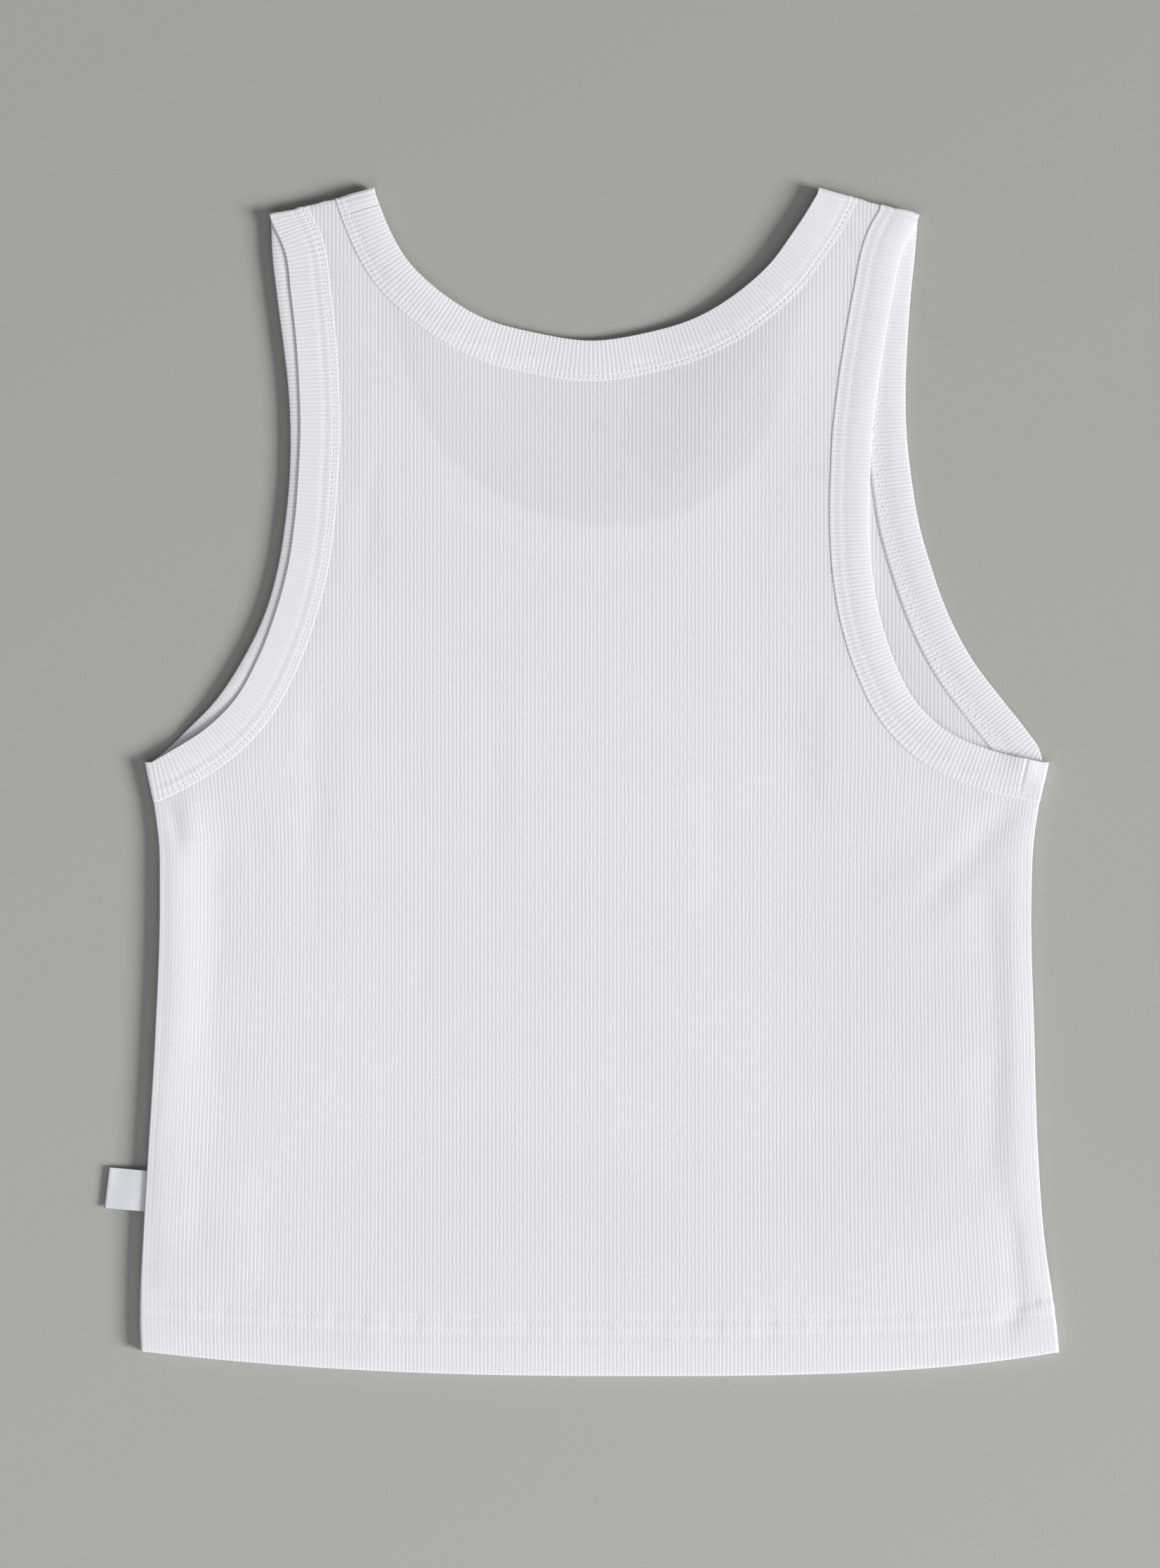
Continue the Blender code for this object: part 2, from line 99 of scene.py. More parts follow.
FOLD_TURN = math.radians(88)    # how far round a fold a panel goes
PANEL_TOP = 487 * MM            # the last level row; those above it lean to the shoulder's slope

SideRow = namedtuple("SideRow", "height left right")
SIDES = table(
    SideRow,
    (0, 201.5, 206.5), (26, 202.8, 204.0), (63, 201.2, 198.7),
    (100, 199.0, 196.0), (150, 196.0, 194.4), (215, 193.9, 193.1),
    (238, 194.4, 194.1), (254, 196.4, 196.4), (274, 200.0, 200.6),
)
ArmholeRow = namedtuple("ArmholeRow", "height front_left front_right back_left back_right")
ARMHOLES = table(
    ArmholeRow,
    (500, 144.0, 141.6, 138.3, 136.0), (480, 141.8, 139.6, 135.5, 131.5), (460, 139.2, 138.2, 133.3, 128.0),
    (440, 136.9, 137.4, 132.0, 125.0), (420, 135.9, 137.8, 131.5, 122.6), (400, 136.3, 139.9, 132.4, 121.6),
    (380, 138.2, 143.2, 134.0, 121.2), (360, 141.4, 148.8, 137.0, 122.2), (340, 147.0, 156.0, 142.4, 125.5),
    (320, 156.5, 166.4, 150.0, 131.6), (300, 169.8, 181.3, 161.5, 142.0), (288, 181.6, 190.8, 174.0, 154.6),
    (279, 190.8, 196.8, 188.0, 175.0),
)
ARM_TOP = {"left": 144.4 * MM, "right": 142.7 * MM}
NeckRow = namedtuple("NeckRow", "height left right")
BACK_NECKLINE = table(
    NeckRow,
    (517, 94.7, 92.8), (506, 89.8, 85.4), (496, 83.6, 78.1),
    (484, 71.4, 65.3), (471, 50.8, 44.5), (464, 26.0, 21.5),
)
BACK_NECK_LOW = (-2.2, 460.7)
FRONT_NECKLINE = table(
    NeckRow,
    (500, 95.0, 94.5), (465, 88.0, 87.5), (431, 78.0, 79.0),
    (409, 64.5, 68.5), (392, 43.0, 51.0), (382, 18.0, 29.0),
)
FRONT_NECK_LOW = (5.0, 379.5)
NECKLINES = {"front": (FRONT_NECKLINE, FRONT_NECK_LOW), "back": (BACK_NECKLINE, BACK_NECK_LOW)}

SIGN = {"left": -1, "right": 1}
UP = {"front": -1, "back": 1}

# ---- knit, seams and folds ----
SKIN = 0.35 * MM                # from the middle of the wall to the visible surface
PANEL_PITCH = 1.73 * MM         # one rib on the panels
BINDING_PITCH = 1.76 * MM       # and on the bindings, measured along the free edge
RIB_HEIGHT = {"panel": 0.055 * MM, "binding": 0.057 * MM}     # half of groove to crest
PANEL_STEPS = 4                 # columns to a rib
BINDING_STEPS = 5
ROW_STEP = 5.6 * MM
STITCH = 2.4 * MM               # length of one stitch with its gap
THREAD = 0.32 * MM              # width of a stitch
SUNK = 0.10 * MM                # how deep a stitch is pulled into the cloth
SEAM_DIP = {"arm": 0.34 * MM, "neck": 0.16 * MM}    # dip where the ends of a binding are sewn together
SEAM_PULL = 0.7 * MM            # and where two panels meet at a fold
SMOOTH_END = 8 * MM             # the last stretch of the right armhole's binding has flatter ribs
HEM_ROWS = (17.4 * MM, 24.5 * MM)
STITCH_ROWS = {"arm": (2.5 * MM, 6.5 * MM), "neck": (1.5 * MM, 4.6 * MM)}   # in from the sewn edge
BOUND_LIFT = 0.72 * MM          # from the middle of a panel to its binding's visible surface
PUFF = 0.05 * MM                # and this much more half way to the binding's stitches
SEWN_DOWN = 0.09 * MM           # a binding is pressed this much thinner at its sewn edge
EDGE_INSET = 0.15 * MM          # gap between a free edge's curve and its visible surface
TILTED = math.radians(18)       # edges that face this far below the right are pressed flatter:
SEWN_PRESS = 0.22 * MM          # sewn edges by this
EDGE_PRESS = 0.30 * MM          # and free edges to either side by this
EDGE_RISE = 0.60 * MM           # free edges that face the other way turn up by this
EDGE_ZONE = 13 * MM             # both fade out this far from the free edge
STITCH_DENT = 0.12 * MM         # cloth pulled down along a row of stitches
HEM_DENT = 0.17 * MM
PUCKER = 0.16 * MM              # cloth gathered along the hem's stitches, this far above its edge
PUCKER_AT = 22 * MM
PUCKER_WIDTH = 6 * MM
STRAP_LIFT = 0.4 * MM           # shoulders stand this much off the floor
STRAP_LIFT_FROM = 400 * MM
SCOOP_SAG = 1.5 * MM            # the back sinks into the opening of the front, down to the floor
SAG_EASE = 66 * MM
EDGE_CURL = 2.0 * MM            # the front's left armhole bulges up beside the back's free edge
CURL_ZONE = (4.5 * MM, 11 * MM)
CURL_HEIGHTS = (UNDERARM, 310 * MM)
LIP = 1.1 * MM                  # the back gapes this much at the right underarm
LIP_PLACE = (191 * MM, 275 * MM)
LIP_SIZE = (7.5 * MM, 7 * MM)
FOLD_POWER = 0.4                # 1 is a round fold, less is a fold pressed flat
SIDE_RISE = 2.4 * MM            # the front comes off the floor beside the folded sides
RISE_EASE = 16 * MM
RISE_STARTS = (28 * MM, 60 * MM)
RISE_ENDS = (215 * MM, 256 * MM)
SIDE_EASE = 45 * MM             # cloth beside a fold is laid out wider over this much
LABEL_RELIEF = 0.25 * MM        # a hidden label lifts the back: its left and right edges, foot and top
LABEL_LEFT = (-200 * MM, -190 * MM)
LABEL_RIGHT = (-163 * MM, -142 * MM)
LABEL_FOOT = (36 * MM, 43 * MM)
LABEL_TOP = (92 * MM, 97 * MM)
LABEL_MIDDLE = -170 * MM
LABEL_SLANT = 0.05

Crease = namedtuple("Crease", "x1 y1 x2 y2 width height")
BACK_CREASES = table(
    Crease,
    # drag lines fanning down and inwards from the right underarm
    (189, 256, 139, 205, 5.5, -0.42),
    (196, 250, 168, 214, 6.0, 0.06),
    (176, 262, 138, 230, 8.0, 0.07),
    (152, 244, 112, 216, 8.0, -0.16),
    (168, 214, 128, 186, 8.0, 0.12),
    # soft upright folds below the armholes and on the chest
    (-126, 306, -125, 204, 7.0, -0.20),
    (-110, 300, -113, 222, 8.0, 0.10),
    (-99.5, 408, -101, 350, 5.0, -0.13),
    (-106, 420, -88, 360, 7.0, 0.10),
    (-47, 306, -46, 210, 7.5, -0.13),
    (-34, 296, -35, 232, 6.0, 0.06),
    (53, 282, 52, 194, 7.5, -0.11),
    (90, 292, 88, 204, 8.0, -0.07),
    (104, 300, 106, 240, 8.0, 0.10),
    (-78, 190, -77, 166, 4.5, -0.09),
    (14, 180, 12, 128, 6.0, -0.07),
    (-152, 252, -150, 208, 5.0, -0.10),
    # small wrinkle in the corner below the left underarm
    (-192, 256, -185, 238, 3.0, -0.50),
    (-184, 260, -176, 240, 4.5, 0.30),
    # hollow and bump at the right end of the hem
    (185, 74, 188, 32, 4.5, -0.32),
    (190, 34, 179, 20, 4.2, -0.36),
    (196, 34, 203, 31, 2.6, 0.35),
    (178, 96, 177, 52, 7.0, 0.07),
    (-176, 78, -175, 56, 6.0, -0.22),
)
FRONT_CREASES = table(
    Crease,
    (-160, 240, -120, 190, 6.0, 0.35), (150, 250, 118, 214, 7.0, 0.40), (-58, 300, -60, 205, 5.0, 0.25),
    (24, 270, 26, 160, 6.0, 0.22), (96, 200, 92, 130, 5.0, 0.28), (-110, 150, -104, 80, 5.0, 0.24),
    (160, 90, 168, 50, 5.0, 0.30),
)
# the rolled strip along each side: crest and foot measured in from the side, how much of the way down
# it drops there, and what is added to it at its foot and its crest
RollRow = namedtuple("RollRow", "height crest foot drop dip bulge")
ROLLS = {
    "left": table(
        RollRow,
        (0, 5, 40, 0.10, 0.0, 0.0), (60, 5, 40, 0.10, 0.0, 0.0), (105, 5, 34, 0.30, 0.0, 0.1),
        (150, 6, 28, 0.50, 0.05, 0.1), (230, 6, 28, 0.55, 0.1, 0.15), (275, 6, 34, 0.40, 0.0, 0.1),
    ),
    "right": table(
        RollRow,
        (0, 9, 24, 0.15, 0.0, 0.0), (40, 9, 18, 0.18, 0.16, 0.05), (90, 9, 20, 0.20, 0.20, 0.05),
        (130, 8, 20, 0.18, 0.17, 0.05), (175, 8, 19, 0.18, 0.15, 0.05), (215, 7, 20, 0.16, 0.12, 0.05),
        (245, 7, 24, 0.12, 0.0, 0.05), (275, 8, 30, 0.10, 0.0, 0.0),
    ),
}
ROLL_REACH = 120 * MM           # the rest of the way down takes this long
ROLL_ENDS = (250 * MM, 280 * MM)
ROLL_SEEDS = {"left": (3, 5, 11), "right": (8, 2, 4)}


def ramp(value, start, end):
    """0 at start, 1 at end, smooth, and flat beyond both."""
    t = np.clip((value - start) / (end - start), 0, 1)
    return t * t * (3 - 2 * t)


def either(*shares):
    """Soft maximum of shares from 0 to 1."""
    rest = 1.0
    for share in shares:
        rest = rest * (1 - share)
    return 1 - rest


def smooth_curve(points, step=0.8 * MM):
    """Points about a step apart on a smooth curve through the given ones."""
    points = np.array(points, dtype=float)
    t = np.concatenate([[0], np.cumsum(np.linalg.norm(np.diff(points, axis=0), axis=1))])
    slopes = np.gradient(points, t, axis=0)
    curve = []
    for i in range(len(points) - 1):
        span = t[i + 1] - t[i]
        for u in np.linspace(0, 1, max(2, int(span / step)), endpoint=False):
            a, b = (1 + 2 * u) * (1 - u) ** 2, u * u * (3 - 2 * u)
            c, d = u * (1 - u) ** 2 * span, u * u * (u - 1) * span
            curve.append(a * points[i] + b * points[i + 1] + c * slopes[i] + d * slopes[i + 1])
    return np.array(curve + [points[-1]])


def run_of(curve):
    """Distance of each point along a curve from its start."""
    return np.concatenate([[0], np.cumsum(np.linalg.norm(np.diff(curve, axis=0), axis=1))])


def point_at(curve, run, place):
    return np.array([np.interp(place, run, column) for column in curve.T])


def distance(curve, x, y):
    """Distance of each point from a curve."""
    best = np.full(np.shape(x), np.inf)
    for px, py in curve[::2]:
        np.minimum(best, (x - px) ** 2 + (y - py) ** 2, out=best)
    return np.sqrt(best)


def world_y(height):
    return height - LENGTH / 2


def above(y, start, end):
    """0 below one height and 1 above another, measured from the lowest point of the hem."""
    return ramp(y, world_y(start), world_y(end))


def waver(value, seed, length):
    """Slow, smooth wandering between -1 and 1 along one direction."""
    t = np.asarray(value) / length
    return (np.sin(t * 2.1 + seed * 1.7) + np.sin(t * 4.7 + seed * 3.1) * 0.6
            + np.sin(t * 9.3 + seed * 5.3) * 0.35) / 1.95


# ---- outline ----

SIDE_CURVES = {side: smooth_curve([(world_y(row.height * MM), getattr(row, side) * MM) for row in SIDES])
               for side in SIGN}


def side_x(side, y):
    curve = SIDE_CURVES[side]
    return SIGN[side] * np.interp(y, curve[:, 0], curve[:, 1])


def side_axis_x(side, y):
    return side_x(side, y) - SIGN[side] * REACH


def side_down(side):
    high, low = world_y(UNDERARM), world_y(UNDERARM - BINDING_WIDTH)
    way = np.array([side_axis_x(side, low) - side_axis_x(side, high), low - high])
    return way / np.linalg.norm(way)


def shoulder_axis_y(x):
    uneven = SHOULDER_WAVE * waver(x, 9, 8 * MM)
    return world_y(LENGTH) - SHOULDER_SLOPE * (np.abs(x) - NECK_HALF) - REACH * SLANT + uneven


def shoulder_directions(side):
    along = np.array([SIGN[side], -SHOULDER_SLOPE]) / SLANT
    across = np.array([SIGN[side] * SHOULDER_SLOPE, 1]) / SLANT
    return along, across


def hem_lift(x):
    power = np.where(x < 0, HEM_POWER["left"], HEM_POWER["right"])
    return HEM_LOW + (HEM_RISE - HEM_LOW) * (np.abs(x) / HEM_HALF) ** power - HEM_TILT * x / HEM_HALF


def armhole_curve(face, side):
    top_x, low_y = SIGN[side] * ARM_TOP[side], world_y(UNDERARM)
    points = [(top_x, shoulder_axis_y(top_x))]
    points += [(SIGN[side] * getattr(row, face + "_" + side) * MM, world_y(row.height * MM))
               for row in ARMHOLES]
    points.append((side_axis_x(side, low_y), low_y))
    return smooth_curve(points)


def neckline_curve(face):
    rows, low = NECKLINES[face]
    points = [(-NECK_TOP, shoulder_axis_y(NECK_TOP))]
    points += [(-row.left * MM, world_y(row.height * MM)) for row in rows]
    points.append((low[0] * MM, world_y(low[1] * MM)))
    points += [(row.right * MM, world_y(row.height * MM)) for row in reversed(rows)]
    points.append((NECK_TOP, shoulder_axis_y(NECK_TOP)))
    return smooth_curve(points)


def inward_normals(curve, first, last, reference, blend=14 * MM):
    tangents = np.gradient(curve, axis=0)
    normals = np.stack([-tangents[:, 1], tangents[:, 0]], axis=1)
    normals /= np.linalg.norm(normals, axis=1)[:, None]
    for _ in range(12):
        normals[1:-1] = (normals[:-2] + 2 * normals[1:-1] + normals[2:]) / 4
    if np.dot(normals[len(curve) // 2], reference) < 0:
        normals = -normals
    run = run_of(curve)
    near_first = (1 - ramp(run, 0, blend))[:, None]
    near_last = (1 - ramp(run[-1] - run, 0, blend))[:, None]
    mixed = near_first * first + near_last * last + (1 - near_first - near_last) * normals
    return mixed / np.linalg.norm(mixed, axis=1)[:, None]


def bound_edges():
    edges = {}
    along_left, along_right = shoulder_directions("left")[0], shoulder_directions("right")[0]
    for face in UP:
        curve = neckline_curve(face)
        edges[face, "neck"] = (curve, inward_normals(curve, along_left, along_right, (0, -1)))
        for side, along in (("left", along_left), ("right", along_right)):
            curve = armhole_curve(face, side)
            inwards = (-SIGN[side], 0)
            edges[face, side] = (curve, inward_normals(curve, -along, side_down(side), inwards))
    return edges


EDGES = bound_edges()


def inside_cut(face, x, y):
    """True where a panel has cloth: short of its cut edges, which the bindings hide."""
    inside = np.ones(np.shape(x), bool)
    for side in SIGN:
        curve, normals = EDGES[face, side]
        raw = curve + normals * RAW_EDGE
        raw = raw[np.argsort(raw[:, 1])]
        limit = np.interp(y, raw[:, 1], raw[:, 0])
        inside &= (y < raw[0, 1]) | (SIGN[side] * x <= SIGN[side] * limit)
    curve, normals = EDGES[face, "neck"]
    raw = curve + normals * RAW_EDGE
    low = int(np.argmin(raw[:, 1]))
    left, right = raw[:low + 1][::-1], raw[low:]
    beside = (x <= np.interp(y, left[:, 1], left[:, 0])) | (x >= np.interp(y, right[:, 1], right[:, 0]))
    return inside & ((y <= raw[low, 1]) | beside)


# ---- how high the cloth lies ----

def crease_height(creases, x, y):
    """Soft troughs and ridges, each fading out towards its ends."""
    total = np.zeros(np.shape(x))
    for number, c in enumerate(creases):
        start = np.array([c.x1 * MM, world_y(c.y1 * MM)])
        way = np.array([c.x2 * MM, world_y(c.y2 * MM)]) - start
        length = np.linalg.norm(way)
        way = way / length
        along = ((x - start[0]) * way[0] + (y - start[1]) * way[1]) / length
        aside = (y - start[1]) * way[0] - (x - start[0]) * way[1]
        aside = aside + waver(along * length, number, 30 * MM) * c.width * MM * 0.35
        fade = ramp(along, -0.2, 0.25) * (1 - ramp(along, 0.65, 1.2))
        width = c.width * MM * (0.8 + 0.4 * np.clip(along, 0, 1))
        total += c.height * MM * fade * np.exp(-(aside / width) ** 2)
    return total


def strap_lift(y):
    """Shoulders curl up a little from the floor."""
    t = np.clip((y - world_y(STRAP_LIFT_FROM)) / (LENGTH - STRAP_LIFT_FROM), 0, 1.1)
    return STRAP_LIFT * t * t


def front_height(x, y):
    to_arm = {side: distance(EDGES["front", side][0], x, y) for side in SIGN}
    beside = 1 - ramp(np.minimum(*to_arm.values()), FLANGE_ZONE, FRONT_EASE)
    bound = either(beside, above(y, *UPPER_FRONT))
    level = FLAT + (FRONT_BOUND - FLAT) * bound
    level = level + crease_height(FRONT_CREASES, x, y) * (1 - bound)
    edge, foot = CURL_ZONE
    curl = (1.06 - 0.06 * ramp(to_arm["left"], 0, edge)) * (1 - ramp(to_arm["left"], edge, foot))
    curl = EDGE_CURL * curl * above(y, *CURL_HEIGHTS)
    to_side = np.where(x < 0, x - side_x("left", y), side_x("right", y) - x)
    rise = SIDE_RISE * (1 - ramp(to_side, REACH, REACH + RISE_EASE))
    rise = rise * above(y, *RISE_STARTS) * (1 - above(y, *RISE_ENDS))
    return level + curl + rise + strap_lift(y)


def roll_shape(x, y):
    """Share of the raised strip beside the folded sides, and what is added to it."""
    share, extra = np.zeros(np.shape(x)), np.zeros(np.shape(x))
    for side, rows in ROLLS.items():
        heights = np.array([world_y(row.height * MM) for row in rows])
        crest, foot, dip, bulge = (np.interp(y, heights, [getattr(row, name) * MM for row in rows])
                                   for name in ("crest", "foot", "dip", "bulge"))
        drop = np.interp(y, heights, [row.drop for row in rows])
        to_side = SIGN[side] * side_x(side, y) - SIGN[side] * x
        crest_seed, foot_seed, dip_seed = ROLL_SEEDS[side]
        crest = crest + waver(y, crest_seed, 60 * MM) * 0.8 * MM
        foot = foot + waver(y, foot_seed, 45 * MM) * 1.5 * MM
        fall = drop * ramp(to_side, crest, foot) + (1 - drop) * ramp(to_side, crest, ROLL_REACH)
        share = np.maximum(share, 1 - fall)
        hump = ramp(to_side, REACH, crest) * (1 - ramp(to_side, crest, foot))
        trough = ramp(to_side, crest, foot) * (1 - ramp(to_side, foot, foot + 13 * MM))
        dip = dip * (1 + 0.9 * waver(y, dip_seed, 26 * MM))
        extra = extra + (bulge * hump - dip * trough) * (1 - above(y, *ROLL_ENDS))
    return share, extra


def care_label_relief(x, y):
    """A label hidden inside shows as a low, soft-edged plateau near the left end of the hem."""
    across = ramp(x, *LABEL_LEFT) * (1 - ramp(x, *LABEL_RIGHT))
    slanted = y + LABEL_SLANT * (x - LABEL_MIDDLE)
    return LABEL_RELIEF * across * above(y, *LABEL_FOOT) * (1 - above(slanted, *LABEL_TOP))


def hem_pucker(x, rise):
    """Cloth gathers a little, unevenly, along the stitches of the hem."""
    uneven = waver(x, 7, 9 * MM) * (0.6 + 0.4 * waver(x, 3, 60 * MM))
    return PUCKER * uneven * np.exp(-((rise - PUCKER_AT) / PUCKER_WIDTH) ** 2)


def scoop_sag(x, y):
    """How far the back sinks where no front lies below it."""
    scoop = EDGES["front", "neck"][0]
    left, right = scoop[:, 0].min(), scoop[:, 0].max()
    scoop_y = np.interp(x, *zip(*sorted(zip(scoop[:, 0], scoop[:, 1]))))
    open_below = (x > left) & (x < right) & (y > scoop_y)
    return SCOOP_SAG * ramp(np.where(open_below, distance(scoop, x, y), 0), 0, SAG_EASE)


def back_height(x, y):
    rise = y - world_y(hem_lift(x))
    hem = 1 - ramp(rise, *BACK_HEM_EASE)
    roll, extra = roll_shape(x, y)
    level = BACK_FLAT + (BACK_OVER - BACK_FLAT) * either(hem, roll)
    level = level + (BACK_CHEST - level) * above(y, *UPPER_BACK)
    near_arm = 1.0
    for edge, bound in BACK_BOUND.items():
        away = distance(EDGES["back", edge][0], x, y)
        share = 1 - ramp(away, *BOUND_EASE[edge])
        if edge == "neck":
            share = share * ramp(np.abs(x), *NECK_SIDES)
        else:
            near_arm = near_arm * ramp(away, BINDING_WIDTH, FLANGE_ZONE + 6 * MM)
        level = level + (bound - level) * share
    folds = (extra + crease_height(BACK_CREASES, x, y)) * near_arm
    small = care_label_relief(x, y) + hem_pucker(x, rise)
    from_lip = np.hypot((x - LIP_PLACE[0]) / LIP_SIZE[0], (y - world_y(LIP_PLACE[1])) / LIP_SIZE[1])
    small = small + LIP * np.exp(-from_lip ** 2)
    return level + folds + small - scoop_sag(x, y) + strap_lift(y)


HEIGHT = {"front": front_height, "back": back_height}


def squared(turn):
    """Sine and cosine of a fold pressed flat: its side is steeper than a half circle's."""
    sine, cosine = np.sin(turn), np.cos(turn)
    return np.abs(sine) ** FOLD_POWER * np.sign(sine), np.abs(cosine) ** FOLD_POWER * np.sign(cosine)


def fold_middle(x, y):
    """Middle height between front and back beside a fold, and half the way between them."""
    front, back = front_height(x, y), back_height(x, y)
    return (front + back) / 2, (back - front) / 2


def fold_straight(side, y):
    """How much longer the flat cloth is beside a folded side where the layers lie closer together."""
    return np.clip(FOLD_R - fold_middle(side_axis_x(side, y), y)[1], 0, None)


# ---- meshes ----

def cloth_mesh(name, grid, rib, along, keep=None):
    """A smooth surface through a grid of points, with knit coordinates as its UV map."""
    rows, columns = grid.shape[:2]
    index = np.arange(rows * columns).reshape(rows, columns)
    quads = np.stack([index[:-1, :-1], index[:-1, 1:], index[1:, 1:], index[1:, :-1]], axis=-1)
    if keep is not None:
        whole = keep[:-1, :-1] & keep[:-1, 1:] & keep[1:, 1:] & keep[1:, :-1]
        quads = quads[whole]
    quads = quads.reshape(-1, 4)
    used, quads = np.unique(quads, return_inverse=True)
    quads = quads.reshape(-1, 4)
    points = grid.reshape(-1, 3)[used]
    mesh = bpy.data.meshes.new(name)
    mesh.from_pydata(points.tolist(), [], quads.tolist())
    uv = np.stack([np.broadcast_to(rib, (rows, columns)), np.broadcast_to(along, (rows, columns))], axis=-1)
    uv = uv.reshape(-1, 2)[used][quads.reshape(-1)]
    layer = mesh.uv_layers.new(name="knit")
    layer.uv.foreach_set("vector", uv.astype(np.float32).ravel())
    mesh.shade_smooth()
    mesh.validate()
    return mesh


def new_object(name, data):
    obj = bpy.data.objects.new(name, data)
    bpy.context.scene.collection.objects.link(obj)
    return obj


def cloth_piece(mesh, material, cad_node):
    mesh.materials.append(material)
    obj = new_object(mesh.name, mesh)
    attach(obj, "root")
    if cad_node:
        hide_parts(cad_node)
    return obj


def rib_relief(phase, groove=1.4):
    """Rounded ribs with narrow grooves: -1 in a groove and 1 on a crest."""
    return 1 - 2 * (1 - np.abs(np.sin(np.pi * phase))) ** groove


# ---- panels ----

# A row: height, lift, how relief moves it in height and lift, turn to the shoulder's slope, fold angle
Row = namedtuple("Row", "height lift out_height out_lift step turn", defaults=(0.0, 1.0, 0.0, 0.0))


def row_y(height, x):
    return world_y(height) + hem_lift(x) * (1 - ramp(height, 0, HEM_FADE))


def panel_rows():
    inner = -LAYER - SKIN
    rows = [Row(height, inner, 0.0, -1.0) for height in (HEM_DEPTH, HEM_DEPTH - 1.5 * MM, 17 * MM, 9 * MM)]
    for degrees in (90, 60, 30, 0, -30, -60, -90):
        turn = math.radians(degrees)
        radius = HEM_R + SKIN
        out, up = squared(turn)
        height = WALL / 2 + HEM_R - radius * up
        rows.append(Row(height, -HEM_R - radius * out, -math.cos(turn), -math.sin(turn)))
    low, high = HEM_ROWS
    dented = (low - 1.3 * MM, low, low + 1.3 * MM, (low + high) / 2, high - 1.3 * MM, high, high + 1.3 * MM)
    heights = [4.5 * MM, 9 * MM, 13 * MM, *dented, 29 * MM, 33 * MM]
    count = int((PANEL_TOP - heights[-1]) / ROW_STEP)
    heights += list(np.linspace(heights[-1], PANEL_TOP, count + 1)[1:])
    rows += [Row(height, SKIN) for height in heights]
    rows += [Row(PANEL_TOP, SKIN, step=step) for step in (0.25, 0.5, 0.75, 0.92, 1.0)]
    rows += [Row(PANEL_TOP, SKIN, step=1.0, turn=math.radians(degrees)) for degrees in (22, 45, 66, 80, 88)]
    return rows


def seam_pull(turn, start=math.radians(64), end=FOLD_TURN):
    """How much a panel dips where it meets its neighbour at a fold."""
    return SEAM_PULL * ramp(turn, start, end)


def strap_y(x, row):
    return row_y(row.height, x) * (1 - row.step) + shoulder_axis_y(x) * row.step


def panel_points(face, cloth_x, row, relief):
    """One row of a panel; cloth_x is measured across the cloth itself, folds included."""
    sign = np.where(cloth_x < 0, -1, 1)
    axis_y = [row_y(row.height, float(side_axis_x(side, world_y(row.height)))) for side in SIGN]
    axis = np.array([abs(float(side_axis_x(side, y))) for side, y in zip(SIGN, axis_y)])
    axis = np.where(cloth_x < 0, axis[0], axis[1])
    whole = axis + FOLD_R * FOLD_TURN
    share = np.clip(np.abs(cloth_x) / WIDEST, 0, 1)
    across = np.abs(cloth_x) + (whole - WIDEST) * share ** 4
    straight = [float(fold_straight(side, y)) for side, y in zip(SIGN, axis_y)]
    straight = np.where(cloth_x < 0, straight[0], straight[1]) * ramp(across, axis - SIDE_EASE, axis)
    x = sign * (np.minimum(across, axis) + straight)
    turn = np.clip((across - axis) / FOLD_R, 0, None)
    y = strap_y(x, row)
    fade = 1 - np.where(x < 0, 0.5, 0.25) * ramp(np.abs(x), axis - 18 * MM, axis - 6 * MM)
    relief = relief * fade * (1 + 0.25 * waver(y, 4, 70 * MM) * waver(x, 6, 50 * MM))
    y = y + row.out_height * relief
    lift = row.lift + row.out_lift * relief
    if row.height > 10 * MM:
        for stitched in HEM_ROWS:
            lift = lift - HEM_DENT * np.exp(-((row.height - stitched) / (1.1 * MM)) ** 2)
    lift = lift - seam_pull(turn) - seam_pull(row.turn)
    if face == "front":
        bay = distance(EDGES["front", "right"][0], x, y)
        lift = lift - 2 * SKIN * (1 - ramp(bay, FLANGE_ZONE + 8 * MM, FLANGE_ZONE + 30 * MM)) * (turn <= 0)
    z = HEIGHT[face](x, y) + UP[face] * lift
    folded = turn > 0
    if folded.any():
        middle, half = fold_middle(x[folded], y[folded])
        out, up = squared(turn[folded])
        z[folded] = middle + UP[face] * up * (half + lift[folded])
        x[folded] += sign[folded] * out * (half + lift[folded])
    if row.turn > 0:
        middle, half = fold_middle(x, shoulder_axis_y(x))
        out, up = squared(row.turn)
        reach = out * (FOLD_R + lift) / SLANT
        z = middle + UP[face] * up * (half + lift)
        x, y = x + sign * SHOULDER_SLOPE * reach, y + reach
    return np.stack([x, y, z], axis=-1)


def panel(face, material, steps):
    count = int(2 * WIDEST / PANEL_PITCH) * steps
    cloth_x = np.linspace(-WIDEST, WIDEST, count + 1)
    phase = np.arange(count + 1) / steps
    relief = RIB_HEIGHT["panel"] * rib_relief(phase) * (1 + 0.12 * np.sin(np.floor(phase) * 2.7))
    rows = panel_rows()
    grid = np.array([panel_points(face, cloth_x, row, relief) for row in rows])
    keep = inside_cut(face, grid[..., 0], grid[..., 1])
    heights = np.array([row.height for row in rows])[:, None]
    keep &= (np.abs(cloth_x)[None, :] < WIDEST - 3.4 * MM) | (heights < UNDERARM - RAW_EDGE)
    run = run_of(grid[:, count // 2])
    mesh = cloth_mesh(face + "_panel_rib", grid, phase[None, :], run[:, None] / MM, keep)
    return cloth_piece(mesh, material, face + "_panel")


# ---- bindings ----

# A point of the section: inset from the free edge, lift, and the way that relief moves it
Section = namedtuple("Section", "inset lift out_inset out_lift")


